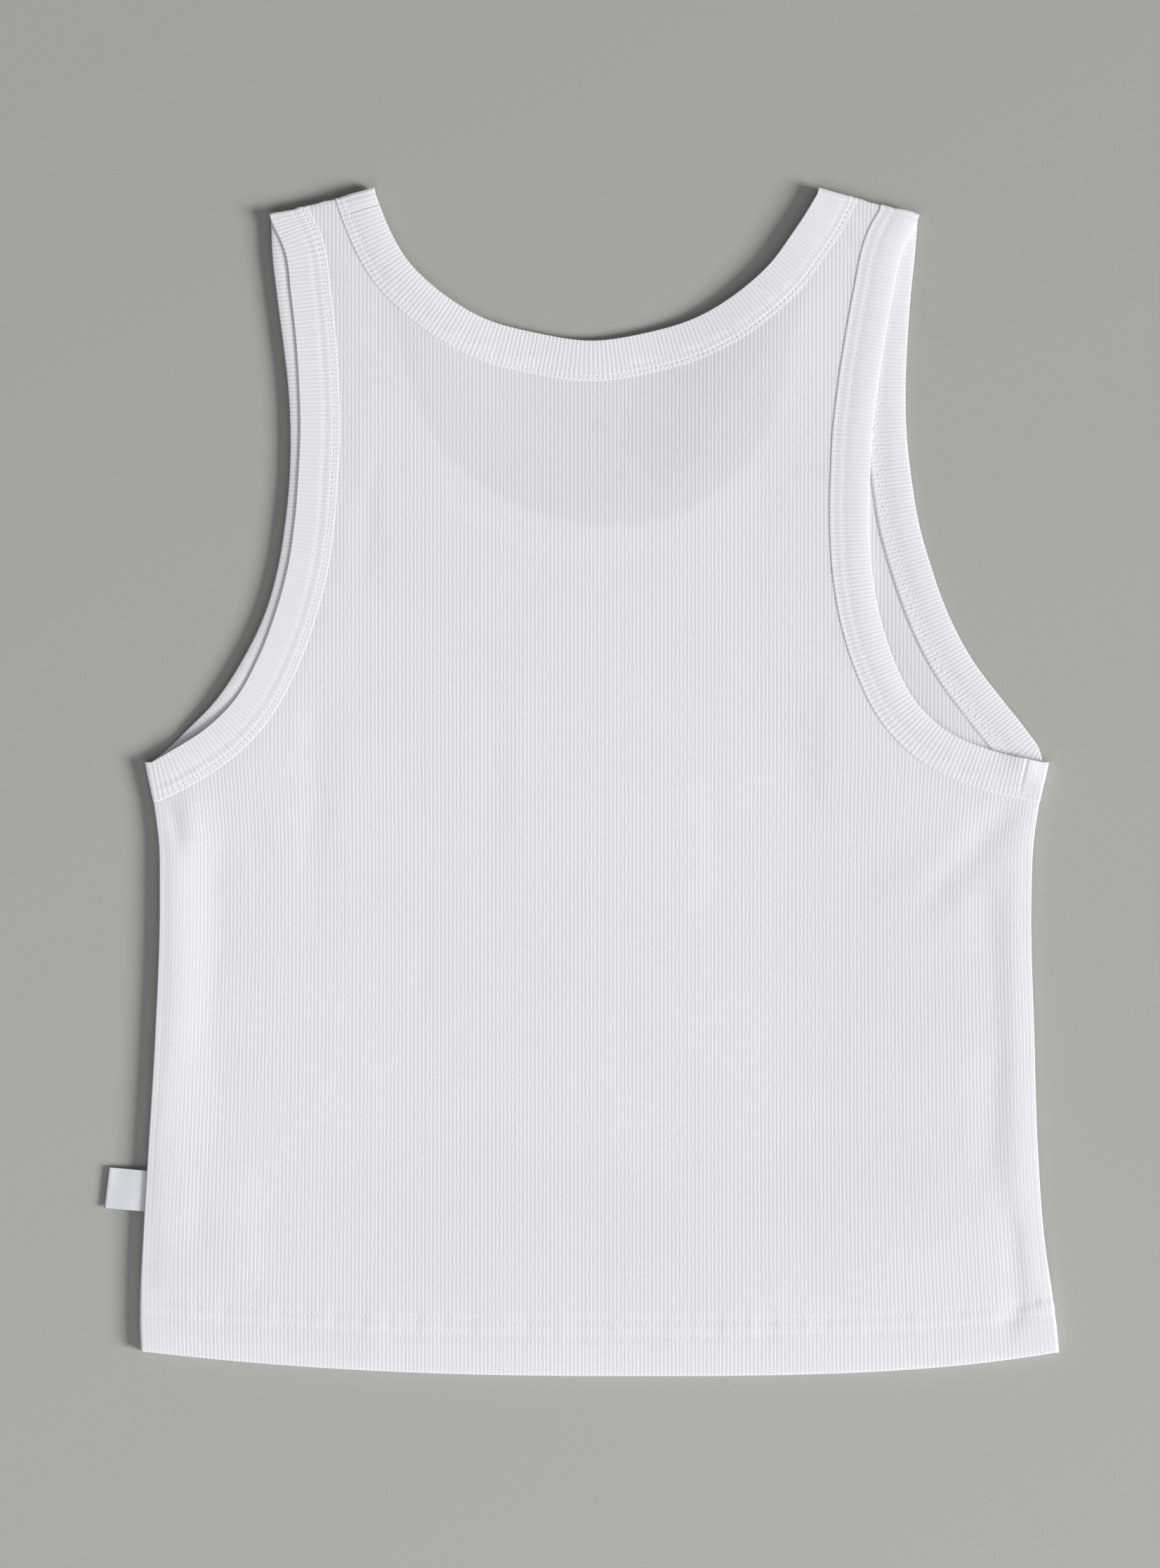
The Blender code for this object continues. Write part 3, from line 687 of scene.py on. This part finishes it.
def sewn_lift(kind, inset):
    """Lift of a binding's flange: thinner towards its sewn edge and dented along its stitches."""
    rows = [BINDING_WIDTH - row for row in STITCH_ROWS[kind]]
    sewn = SEWN_DOWN * float(ramp(inset, min(rows) - 5 * MM, BINDING_WIDTH - 1 * MM))
    dent = sum(STITCH_DENT * math.exp(-((inset - row) / (0.7 * MM)) ** 2) for row in rows)
    puff = PUFF * math.sin(math.pi * min(1, inset / min(rows)))
    return BOUND_LIFT + puff - sewn - dent


def binding_section(kind):
    """From the sewn edge of the outer flange, round the free edge, to that of the inner flange."""
    centre = BOUND_LIFT + EDGE_INSET
    near, far = (BINDING_WIDTH - row for row in STITCH_ROWS[kind])
    step = 0.8 * MM
    insets = {BINDING_WIDTH - step, near + step, near, near - step, (near + far) / 2, far + step, far,
              far - step, far - 2.6 * MM, 6.2 * MM, 3.6 * MM, 1.9 * MM}
    insets = sorted((inset for inset in insets if inset < BINDING_WIDTH - 0.5 * MM), reverse=True)
    edge = sewn_lift(kind, BINDING_WIDTH - 0.25 * MM)
    section = [Section(BINDING_WIDTH + 0.12 * MM, SKIN, 0.0, 0.2),
               Section(BINDING_WIDTH + 0.08 * MM, edge - 0.25 * MM, 0.0, 0.5),
               Section(BINDING_WIDTH - 0.25 * MM, edge, 0.0, 1.0)]
    section += [Section(inset, sewn_lift(kind, inset), 0.0, 1.0) for inset in insets]
    for degrees in (90, 75, 60, 30, 0, -30, -60, -90):
        turn = math.radians(degrees)
        size = 1 + 0.4 * math.cos(turn)
        up, out = squared(turn)
        section.append(Section(centre - BOUND_LIFT * out, BOUND_LIFT * up,
                               -math.cos(turn) * size, math.sin(turn) * size))
    section += [Section(inset, -sewn_lift(kind, inset), 0.0, -1.0)
                for inset in (2.2 * MM, 6 * MM, far - step, far, (near + far) / 2, near, near + step)]
    section += [Section(BINDING_WIDTH - 0.2 * MM, -edge, 0.0, -1.0),
                Section(BINDING_WIDTH + 0.1 * MM, -SKIN, 0.0, 0.0)]
    return section


Path = namedtuple("Path", "kind face side run data")


def flat_part(face, edge, start=0.0, stop=0.0, backwards=False):
    """A stretch along a free edge: its curve, inward normals and length."""
    curve, normals = EDGES[face, edge]
    run = run_of(curve)
    total = run[-1]
    picked = np.linspace(start, total - stop, max(2, int((total - start - stop) / (0.5 * MM))))
    data = np.stack([np.interp(picked, run, column) for column in (*curve.T, *normals.T)], axis=1)
    if backwards:
        data = data[::-1]
    return Path("flat", face, None, picked - picked[0], data)


def turn_part(kind, side, x, inwards, start, end):
    """A stretch round a fold; angles run from 0 on the back to pi on the front."""
    length = abs(end - start) * (FOLD_R + LAYER)
    angles = np.linspace(start, end, 24)
    return Path(kind, inwards, side, np.linspace(0, length, 24), np.stack([angles, np.full(24, x)], axis=1))


def part_points(part, place, inset, lift):
    """Points of a stretch at these places along it, at insets and lifts of the same shape."""
    data = [np.interp(place, part.run, column) for column in part.data.T]
    if part.kind == "flat":
        x0, y0, nx, ny = data
        size = np.hypot(nx, ny)
        x, y = x0 + nx / size * inset, y0 + ny / size * inset
        return x, y, HEIGHT[part.face](x, y) + UP[part.face] * lift
    angle, edge_x = data
    out, up = squared(angle)
    if part.kind == "shoulder":
        along, across = shoulder_directions(part.side)
        x = edge_x + part.face * along[0] * inset
        y = shoulder_axis_y(x)
        middle, half = fold_middle(x, y)
        reach = (FOLD_R + lift) * out
        x, y = x + across[0] * reach, y + across[1] * reach
    else:
        y = world_y(UNDERARM) + side_down(part.side)[1] * inset
        straight = fold_straight(part.side, y) * ramp(np.minimum(angle, math.pi - angle), 0, 0.5)
        x = side_axis_x(part.side, y) + SIGN[part.side] * straight
        middle, half = fold_middle(x, y)
        x = x + SIGN[part.side] * (half + lift) * out
    return x, y, middle + (half + lift) * up


def path_points(parts, run, inset, lift):
    """Points along a whole path of stretches at distances run from its start."""
    shape = np.broadcast(run, inset, lift).shape
    run, inset, lift = (np.broadcast_to(a, shape) for a in (run, inset, lift))
    points = np.zeros(shape + (3,))
    start = 0.0
    for number, part in enumerate(parts):
        length = part.run[-1]
        last = number == len(parts) - 1
        inside = (run >= start) & ((run < start + length) | last) if number else run < start + length
        if inside.any():
            found = part_points(part, run[inside] - start, inset[inside], lift[inside])
            points[inside] = np.stack(found, axis=-1)
        start += length
    return points


def path_length(parts):
    return sum(part.run[-1] for part in parts)


def arm_path(side):
    top_x = SIGN[side] * ARM_TOP[side]
    over = turn_part("shoulder", side, top_x, -1, 0, math.pi)
    front = flat_part("front", side)
    if side == "left":
        return [turn_part("side", side, 0, 0, math.pi / 2, 0), flat_part("back", side, backwards=True),
                over, front, turn_part("side", side, 0, 0, math.pi, math.pi / 2)]
    inboard = ARM_SEAM_INBOARD - REACH
    length = run_of(EDGES["back", side][0])[-1]
    return [flat_part("back", side, stop=inboard, backwards=True), over, front,
            turn_part("side", side, 0, 0, math.pi, 0),
            flat_part("back", side, start=length - inboard, backwards=True)]


def neck_path():
    length = run_of(EDGES["back", "neck"][0])[-1]
    return [flat_part("back", "neck", start=NECK_SEAM_DROP),
            turn_part("shoulder", "right", NECK_TOP, 1, 0, math.pi),
            flat_part("front", "neck", backwards=True),
            turn_part("shoulder", "left", -NECK_TOP, 1, math.pi, 0),
            flat_part("back", "neck", stop=length - NECK_SEAM_DROP)]


def seam_turn(kind, run, length):
    """The last end of a strip dips under its first end, where they are sewn together."""
    near = np.maximum(1 - run / (0.2 * MM), 1 - (length - run) / (1.8 * MM))
    return SEAM_DIP[kind] * ramp(near, -0.1, 1.1)


def binding(name, kind, parts, smooth_end=0.0):
    """Mesh of a folded strip round an opening, with ribs across it."""
    length = path_length(parts)
    count = int(length / BINDING_PITCH * BINDING_STEPS)
    run = np.linspace(0, length, count + 1)
    phase = np.arange(count + 1) / BINDING_STEPS
    strength = 1 + 0.15 * np.sin(np.floor(phase) * 1.9)
    if smooth_end:
        strength = strength * (1 - 0.65 * ramp(run, length - smooth_end - 3 * MM, length - smooth_end))
    relief = RIB_HEIGHT["binding"] * rib_relief(phase, 1.1) * strength
    section = binding_section(kind)
    inset, lift, out_inset, out_lift = (np.array([getattr(s, field) for s in section])[:, None]
                                        for field in Section._fields)
    pull = seam_turn(kind, run, length)[None, :] * np.sign(lift) * (np.abs(lift) > LAYER / 2)
    free, sewn = (path_points(parts, run, 10 * MM + away, LAYER)[:, :2] for away in (0, 2 * MM))
    facing = (sewn - free) @ np.array([math.cos(TILTED), -math.sin(TILTED)]) / (2 * MM)
    sewn_press = SEWN_PRESS * np.clip(1.5 * facing, 0, 1)[None, :] * (lift > LAYER / 4)
    pull = pull + sewn_press * ramp(inset, BINDING_WIDTH - 4 * MM, BINDING_WIDTH - 0.3 * MM)
    near_edge = np.clip(1 - inset / EDGE_ZONE, 0, 1) ** 2
    edge_press = EDGE_PRESS / BOUND_LIFT * np.clip(np.abs(facing), 0, 1)[None, :]
    edge_rise = EDGE_RISE * np.clip(facing, 0, 1)[None, :]
    pull = pull + (edge_press * lift - edge_rise) * near_edge
    tighter = (inset - EDGE_INSET) * edge_press * (inset < BOUND_LIFT + 2 * EDGE_INSET)
    wander = waver(run, len(name), 40 * MM)[None, :] * 0.12 * MM
    whole_inset = inset - tighter + out_inset * relief[None, :] + wander * (inset > BINDING_WIDTH / 2)
    whole_lift = lift + out_lift * relief[None, :] - pull
    grid = path_points(parts, run[None, :], whole_inset, whole_lift)
    across = np.concatenate([[0], np.cumsum(np.hypot(np.diff(inset[:, 0]), np.diff(lift[:, 0])))])
    return cloth_mesh(name, grid, phase[None, :], across[:, None] / MM)


# ---- stitches ----

def stitch_mesh(name, lines):
    """Short raised threads along lines; a line is its points and the way up from the cloth."""
    verts, faces = [], []
    rings = ((-0.5, -0.5, 0.3), (-0.34, 0.3, 0.9), (0.0, 0.55, 1.0), (0.34, 0.3, 0.9), (0.5, -0.5, 0.3))
    sides = ((1, 0), (0.55, 0.8), (-0.55, 0.8), (-1, 0))
    for points, ups in lines:
        run = run_of(points)
        count = max(1, int(run[-1] / STITCH))
        for number in range(count):
            middle = (number + 0.5) * run[-1] / count
            base = len(verts)
            for along, rise, size in rings:
                place = middle + along * STITCH * 0.86
                way = point_at(points, run, place + 0.3 * MM) - point_at(points, run, place - 0.3 * MM)
                up = point_at(ups, run, place)
                up = up / np.linalg.norm(up)
                aside = np.cross(way, up)
                aside = aside / max(np.linalg.norm(aside), 1e-9)
                centre = point_at(points, run, place) + up * (rise * THREAD * 0.5 - SUNK)
                for a, b in sides:
                    verts.append(centre + (aside * a + up * b) * THREAD * 0.5 * size)
            for ring in range(len(rings) - 1):
                low, high = base + ring * len(sides), base + (ring + 1) * len(sides)
                for k in range(len(sides) - 1):
                    faces.append((low + k, low + k + 1, high + k + 1, high + k))
    mesh = bpy.data.meshes.new(name)
    mesh.from_pydata([tuple(v) for v in verts], [], faces)
    mesh.shade_smooth()
    return mesh


def stitch_line(kind, parts, run, inset, face=1):
    """A line on a binding's outer flange, or on its inner one where face is -1."""
    lift = np.array([sewn_lift(kind, value) for value in np.broadcast_to(inset, run.shape)])
    points = path_points(parts, run, inset, face * lift)
    raised = path_points(parts, run, inset, face * (lift + 1 * MM))
    return points, raised - points


def binding_stitch_lines(kind, parts):
    """Twin rows on the outer flange of a binding."""
    length = path_length(parts)
    run = np.linspace(0.6 * MM, length - 0.6 * MM, int(length / (1.2 * MM)))
    return [stitch_line(kind, parts, run, BINDING_WIDTH - row) for row in STITCH_ROWS[kind]]


def looper_lines(parts):
    """Inner side of the stitches where the right armhole shows it: twin rows and a thread between them."""
    start = parts[0].run[-1] + parts[1].run[-1]
    run = np.arange(start, start + parts[2].run[-1], 0.6 * MM)
    near, far = (BINDING_WIDTH - row for row in STITCH_ROWS["arm"])
    zigzag = np.abs((run / STITCH) % 2 - 1)
    between = far + (near - far) * (0.15 + 0.7 * zigzag)
    return [stitch_line("arm", parts, run, inset, -1) for inset in (near, far, between)]


def hem_stitch_lines():
    lines = []
    cloth_x = np.linspace(-WIDEST, WIDEST, 260)
    flat = np.zeros(260)
    for face in UP:
        for height in HEM_ROWS:
            points = panel_points(face, cloth_x, Row(height, SKIN), flat)
            raised = panel_points(face, cloth_x, Row(height, SKIN + 1 * MM), flat)
            lines.append((points, raised - points))
    return lines


# ---- side tab ----

def side_tab(material):
    """A ribbon folded in two and caught in the left side seam, drooping to the floor."""
    seam_z = FLAT + FOLD_R + SIDE_RISE / 4
    half = 0.28 * MM
    sections = []
    out = np.concatenate([np.linspace(0, 1, 26), np.linspace(1, 0, 26)])
    layer = np.concatenate([np.ones(26), -np.ones(26)])
    for across in np.linspace(-0.5, 0.5, 25):
        y = world_y(TAB_HEIGHT) + TAB_WIDTH * across
        root = side_x("left", y) + 1.2 * MM
        reach = TAB_LENGTH + 1.2 * MM + 1.1 * MM * (0.5 - across)
        x = root - reach * out
        z = seam_z - TAB_DROOP * ramp(out, -0.1, 1.1) + 0.12 * MM * np.sin(out * 5 + across * 1.5)
        z = z + layer * half * np.sqrt(np.clip(1 - (out - 0.95).clip(0) / 0.05, 0, 1)) + 0.16 * MM
        sections.append(np.stack([x, y + TAB_SKEW * out, z], axis=-1))
    grid = np.array(sections)
    mesh = cloth_mesh("side_tab", grid, np.linspace(0, TAB_WIDTH / MM, 25)[:, None],
                      (out * TAB_LENGTH / MM)[None, :])
    return cloth_piece(mesh, material, "side_label")


# ---- materials ----

WHITE, WHITE_SHADE = (0.93, 0.922, 0.96), (0.855, 0.848, 0.885)
BOUND, BOUND_SHADE = (0.945, 0.937, 0.972), (0.912, 0.905, 0.942)
SEWING, SEWING_SHADE = (0.84, 0.83, 0.87), (0.81, 0.80, 0.845)
# satin ribbon; its darker colour is painted shade by the seam
SATIN, SATIN_PAINTED_SHADE = (0.72, 0.735, 0.775), (0.60, 0.62, 0.66)
# floor colours, mixed by a fine grain and by painted light that makes the floor lighter towards the front
FLOOR, FLOOR_GRAIN_AND_SHADE = (0.385, 0.386, 0.359), (0.345, 0.346, 0.319)
FLOOR_LIGHT_FALLOFF = 350 * MM


def fill(tree, made, values):
    """Give a node's inputs their values, or links from the outputs of other nodes."""
    for key, value in values.items():
        if isinstance(value, bpy.types.NodeSocket):
            tree.links.new(value, made.inputs[key])
        else:
            made.inputs[key].default_value = value


def node(tree, kind, values, **settings):
    made = tree.nodes.new("ShaderNode" + kind)
    for key, value in settings.items():
        setattr(made, key, value)
    fill(tree, made, values)
    return made


def maths(tree, operation, *values):
    return node(tree, "Math", dict(enumerate(values)), operation=operation).outputs[0]


def remap(tree, value, start, end, first=0.0, last=1.0, kind="LINEAR"):
    """Goes from first to last as a value goes from start to end."""
    values = {"Value": value, "From Min": start, "From Max": end, "To Min": first, "To Max": last}
    return node(tree, "MapRange", values, interpolation_type=kind).outputs["Result"]


def noise(tree, scale, detail, roughness):
    place = node(tree, "TexCoord", {}).outputs["Object"]
    values = {"Vector": place, "Scale": scale, "Detail": detail, "Roughness": roughness}
    return node(tree, "TexNoise", values).outputs["Fac"]


def separated(tree, vector):
    return node(tree, "SeparateXYZ", {"Vector": vector}).outputs


def knit_place(tree):
    return separated(tree, node(tree, "UVMap", {}, uv_map="knit").outputs["UV"])


def colour_between(tree, first, last, share):
    values = {"Color1": (*first, 1), "Color2": (*last, 1), "Fac": share}
    return node(tree, "MixRGB", values).outputs["Color"]


def bump(tree, height, strength, distance):
    values = {"Height": height, "Strength": strength, "Distance": distance}
    return node(tree, "Bump", values).outputs["Normal"]


def new_material(name):
    material = bpy.data.materials.new(name)
    material.use_nodes = True
    return material, material.node_tree, material.node_tree.nodes["Principled BSDF"]


def knit_material(name, colour, deep, thin=0.28, loops=True):
    """White cotton: soft fuzz, loops along the ribs, slightly uneven colour, some light through it.

    Painted shade: the colour is a shade darker in the grooves between ribs and along the parting down the
    middle of each rib.
    """
    material, tree, shader = new_material(name)
    fibres = noise(tree, 1500.0, 2.0, 0.6)
    mix = maths(tree, "ADD", maths(tree, "MULTIPLY", noise(tree, 26.0, 3.0, 0.55), 0.2),
                maths(tree, "MULTIPLY", fibres, 0.8))
    tint = colour_between(tree, deep, colour, remap(tree, mix, 0.3, 0.62))
    height = fibres
    if loops:
        knit = knit_place(tree)
        side = maths(tree, "PINGPONG", knit["X"], 0.5)
        # painted shade: the ribs' colour is darkened in the grooves and along each rib's parting, where
        # shade falls
        groove = remap(tree, side, 0.0, 0.24, 0.93, 1.0, "SMOOTHSTEP")
        parting = remap(tree, side, 0.34, 0.5, 1.0, 0.94, "SMOOTHSTEP")
        painted_groove_shade = {"Vector": tint, "Scale": maths(tree, "MULTIPLY", groove, parting)}
        tint = node(tree, "VectorMath", painted_groove_shade, operation="SCALE").outputs["Vector"]
        slant = maths(tree, "ADD", maths(tree, "MULTIPLY", knit["Y"], 1.15),
                      maths(tree, "MULTIPLY", side, 1.1))
        loop = maths(tree, "ABSOLUTE", maths(tree, "SINE", maths(tree, "MULTIPLY", slant, math.pi)))
        height = maths(tree, "ADD", maths(tree, "MULTIPLY", loop, 0.55),
                       maths(tree, "MULTIPLY", fibres, 0.8))
    normal = bump(tree, height, 0.22, 0.2 * MM)
    fill(tree, shader, {"Base Color": tint, "Normal": normal, "Roughness": 0.92, "Specular IOR Level": 0.25,
                        "Sheen Weight": 0.12, "Sheen Roughness": 0.5})
    through = node(tree, "BsdfTranslucent", {"Color": (*colour, 1), "Normal": normal})
    both = node(tree, "MixShader", {0: thin, 1: shader.outputs["BSDF"], 2: through.outputs["BSDF"]})
    fill(tree, tree.nodes["Material Output"], {"Surface": both.outputs["Shader"]})
    return material


def satin_material():
    """Woven satin ribbon: fine threads across it, a soft gloss, and painted shade that makes it darker by
    the seam.
    """
    material, tree, shader = new_material("satin_ribbon")
    knit = knit_place(tree)
    warp = maths(tree, "SINE", maths(tree, "MULTIPLY", knit["X"], 2 * math.pi / 0.35))
    weft = maths(tree, "SINE", maths(tree, "MULTIPLY", knit["Y"], 2 * math.pi / 0.5))
    weave = maths(tree, "ADD", maths(tree, "MULTIPLY", warp, 0.6), maths(tree, "MULTIPLY", weft, 0.4))
    # painted shade: darker colour within the first few millimetres from the seam
    tint = colour_between(tree, SATIN_PAINTED_SHADE, SATIN, remap(tree, knit["Y"], 0.5, 3.0))
    fill(tree, shader, {"Base Color": tint, "Normal": bump(tree, weave, 0.18, 0.1 * MM),
                        "Roughness": 0.42, "Specular IOR Level": 0.5, "Sheen Weight": 0.1})
    return material


def floor_material():
    """Smooth painted board with a very fine grain, and painted light: its colour is lighter towards the
    front, standing in for the light falling off towards the back.
    """
    material, tree, shader = new_material("studio_floor")
    place = separated(tree, node(tree, "TexCoord", {}).outputs["Object"])
    # painted light: the colour is darker at the back and lighter at the front
    painted_falloff = remap(tree, place["Y"], FLOOR_LIGHT_FALLOFF, -FLOOR_LIGHT_FALLOFF, -0.30, 0.25)
    share = maths(tree, "ADD", noise(tree, 900.0, 2.0, 0.7), painted_falloff)
    fill(tree, shader, {"Base Color": colour_between(tree, FLOOR_GRAIN_AND_SHADE, FLOOR, share),
                        "Roughness": 0.9, "Specular IOR Level": 0.1})
    return material


# ---- stage ----

FIELD = 695.6 * MM              # what the camera sees of the cloth from top to bottom
CLOTH_TOP = 3.5 * MM
CENTRE = Vector((-7.25 * MM, -0.3 * MM, 0))
CAMERA_HEIGHT = 2.2
FLOOR_SIZE = 6


def make_floor():
    bpy.ops.mesh.primitive_plane_add(size=FLOOR_SIZE, location=(0, 0, -0.05 * MM))
    floor = bpy.context.active_object
    floor.name = "studio_floor"
    floor.data.materials.append(floor_material())


def make_camera():
    data = bpy.data.cameras.new("camera")
    data.sensor_width = 36
    data.lens = data.sensor_width * (CAMERA_HEIGHT - CLOTH_TOP) / FIELD
    camera = new_object("camera", data)
    camera.location = CENTRE + Vector((0, 0, CAMERA_HEIGHT))
    bpy.context.scene.camera = camera


def area_light(name, azimuth, elevation, distance, size, power, colour):
    """A softbox in a direction measured from +X towards +Y, turned to the garment."""
    data = bpy.data.lights.new(name, "AREA")
    data.shape = "RECTANGLE"
    data.size, data.size_y = size
    data.energy = power
    data.color = colour
    light = new_object(name, data)
    a, e = math.radians(azimuth), math.radians(elevation)
    way = Vector((math.cos(a) * math.cos(e), math.sin(a) * math.cos(e), math.sin(e)))
    light.location = way * distance
    light.rotation_mode = "QUATERNION"
    light.rotation_quaternion = (-way).to_track_quat("-Z", "Y")


def make_lights():
    area_light("key", azimuth=-18, elevation=25, distance=14.0, size=(4.8, 4.6), power=3150,
               colour=(1.0, 0.995, 0.985))
    area_light("fill", azimuth=-90, elevation=52, distance=3.0, size=(2.8, 1.8), power=26,
               colour=(0.97, 0.985, 1.0))
    world = bpy.data.worlds.new("studio")
    world.use_nodes = True
    background = world.node_tree.nodes["Background"]
    background.inputs["Color"].default_value = (0.93, 0.96, 1.0, 1)
    background.inputs["Strength"].default_value = 0.235
    bpy.context.scene.world = world
    bpy.context.scene.view_settings.view_transform = "Standard"


def main():
    make_camera()
    make_floor()
    make_lights()
    rib = knit_material("rib_knit", WHITE, WHITE_SHADE)
    bound = knit_material("binding_knit", BOUND, BOUND_SHADE, thin=0.32)
    thread = knit_material("sewing_thread", SEWING, SEWING_SHADE, thin=0.1, loops=False)
    satin = satin_material()

    back = panel("back", rib, PANEL_STEPS)
    front = panel("front", rib, PANEL_STEPS)
    neck_parts = neck_path()
    neck = cloth_piece(binding("neck_binding_rib", "neck", neck_parts), bound, "neck_binding")
    arms, stitches = {}, {}
    for side in SIGN:
        name = "arm_binding_" + side
        parts = arm_path(side)
        mesh = binding(name + "_rib", "arm", parts, SMOOTH_END if side == "right" else 0)
        arms[side] = cloth_piece(mesh, bound, name)
        lines = binding_stitch_lines("arm", parts)
        if side == "right":
            lines += looper_lines(parts)
        stitches[side] = cloth_piece(stitch_mesh(name + "_stitches", lines), thread, None)
    mesh = stitch_mesh("neck_stitches", binding_stitch_lines("neck", neck_parts))
    neck_stitches = cloth_piece(mesh, thread, None)
    hem_stitches = cloth_piece(stitch_mesh("hem_stitches", hem_stitch_lines()), thread, None)
    tab = side_tab(satin)


main()
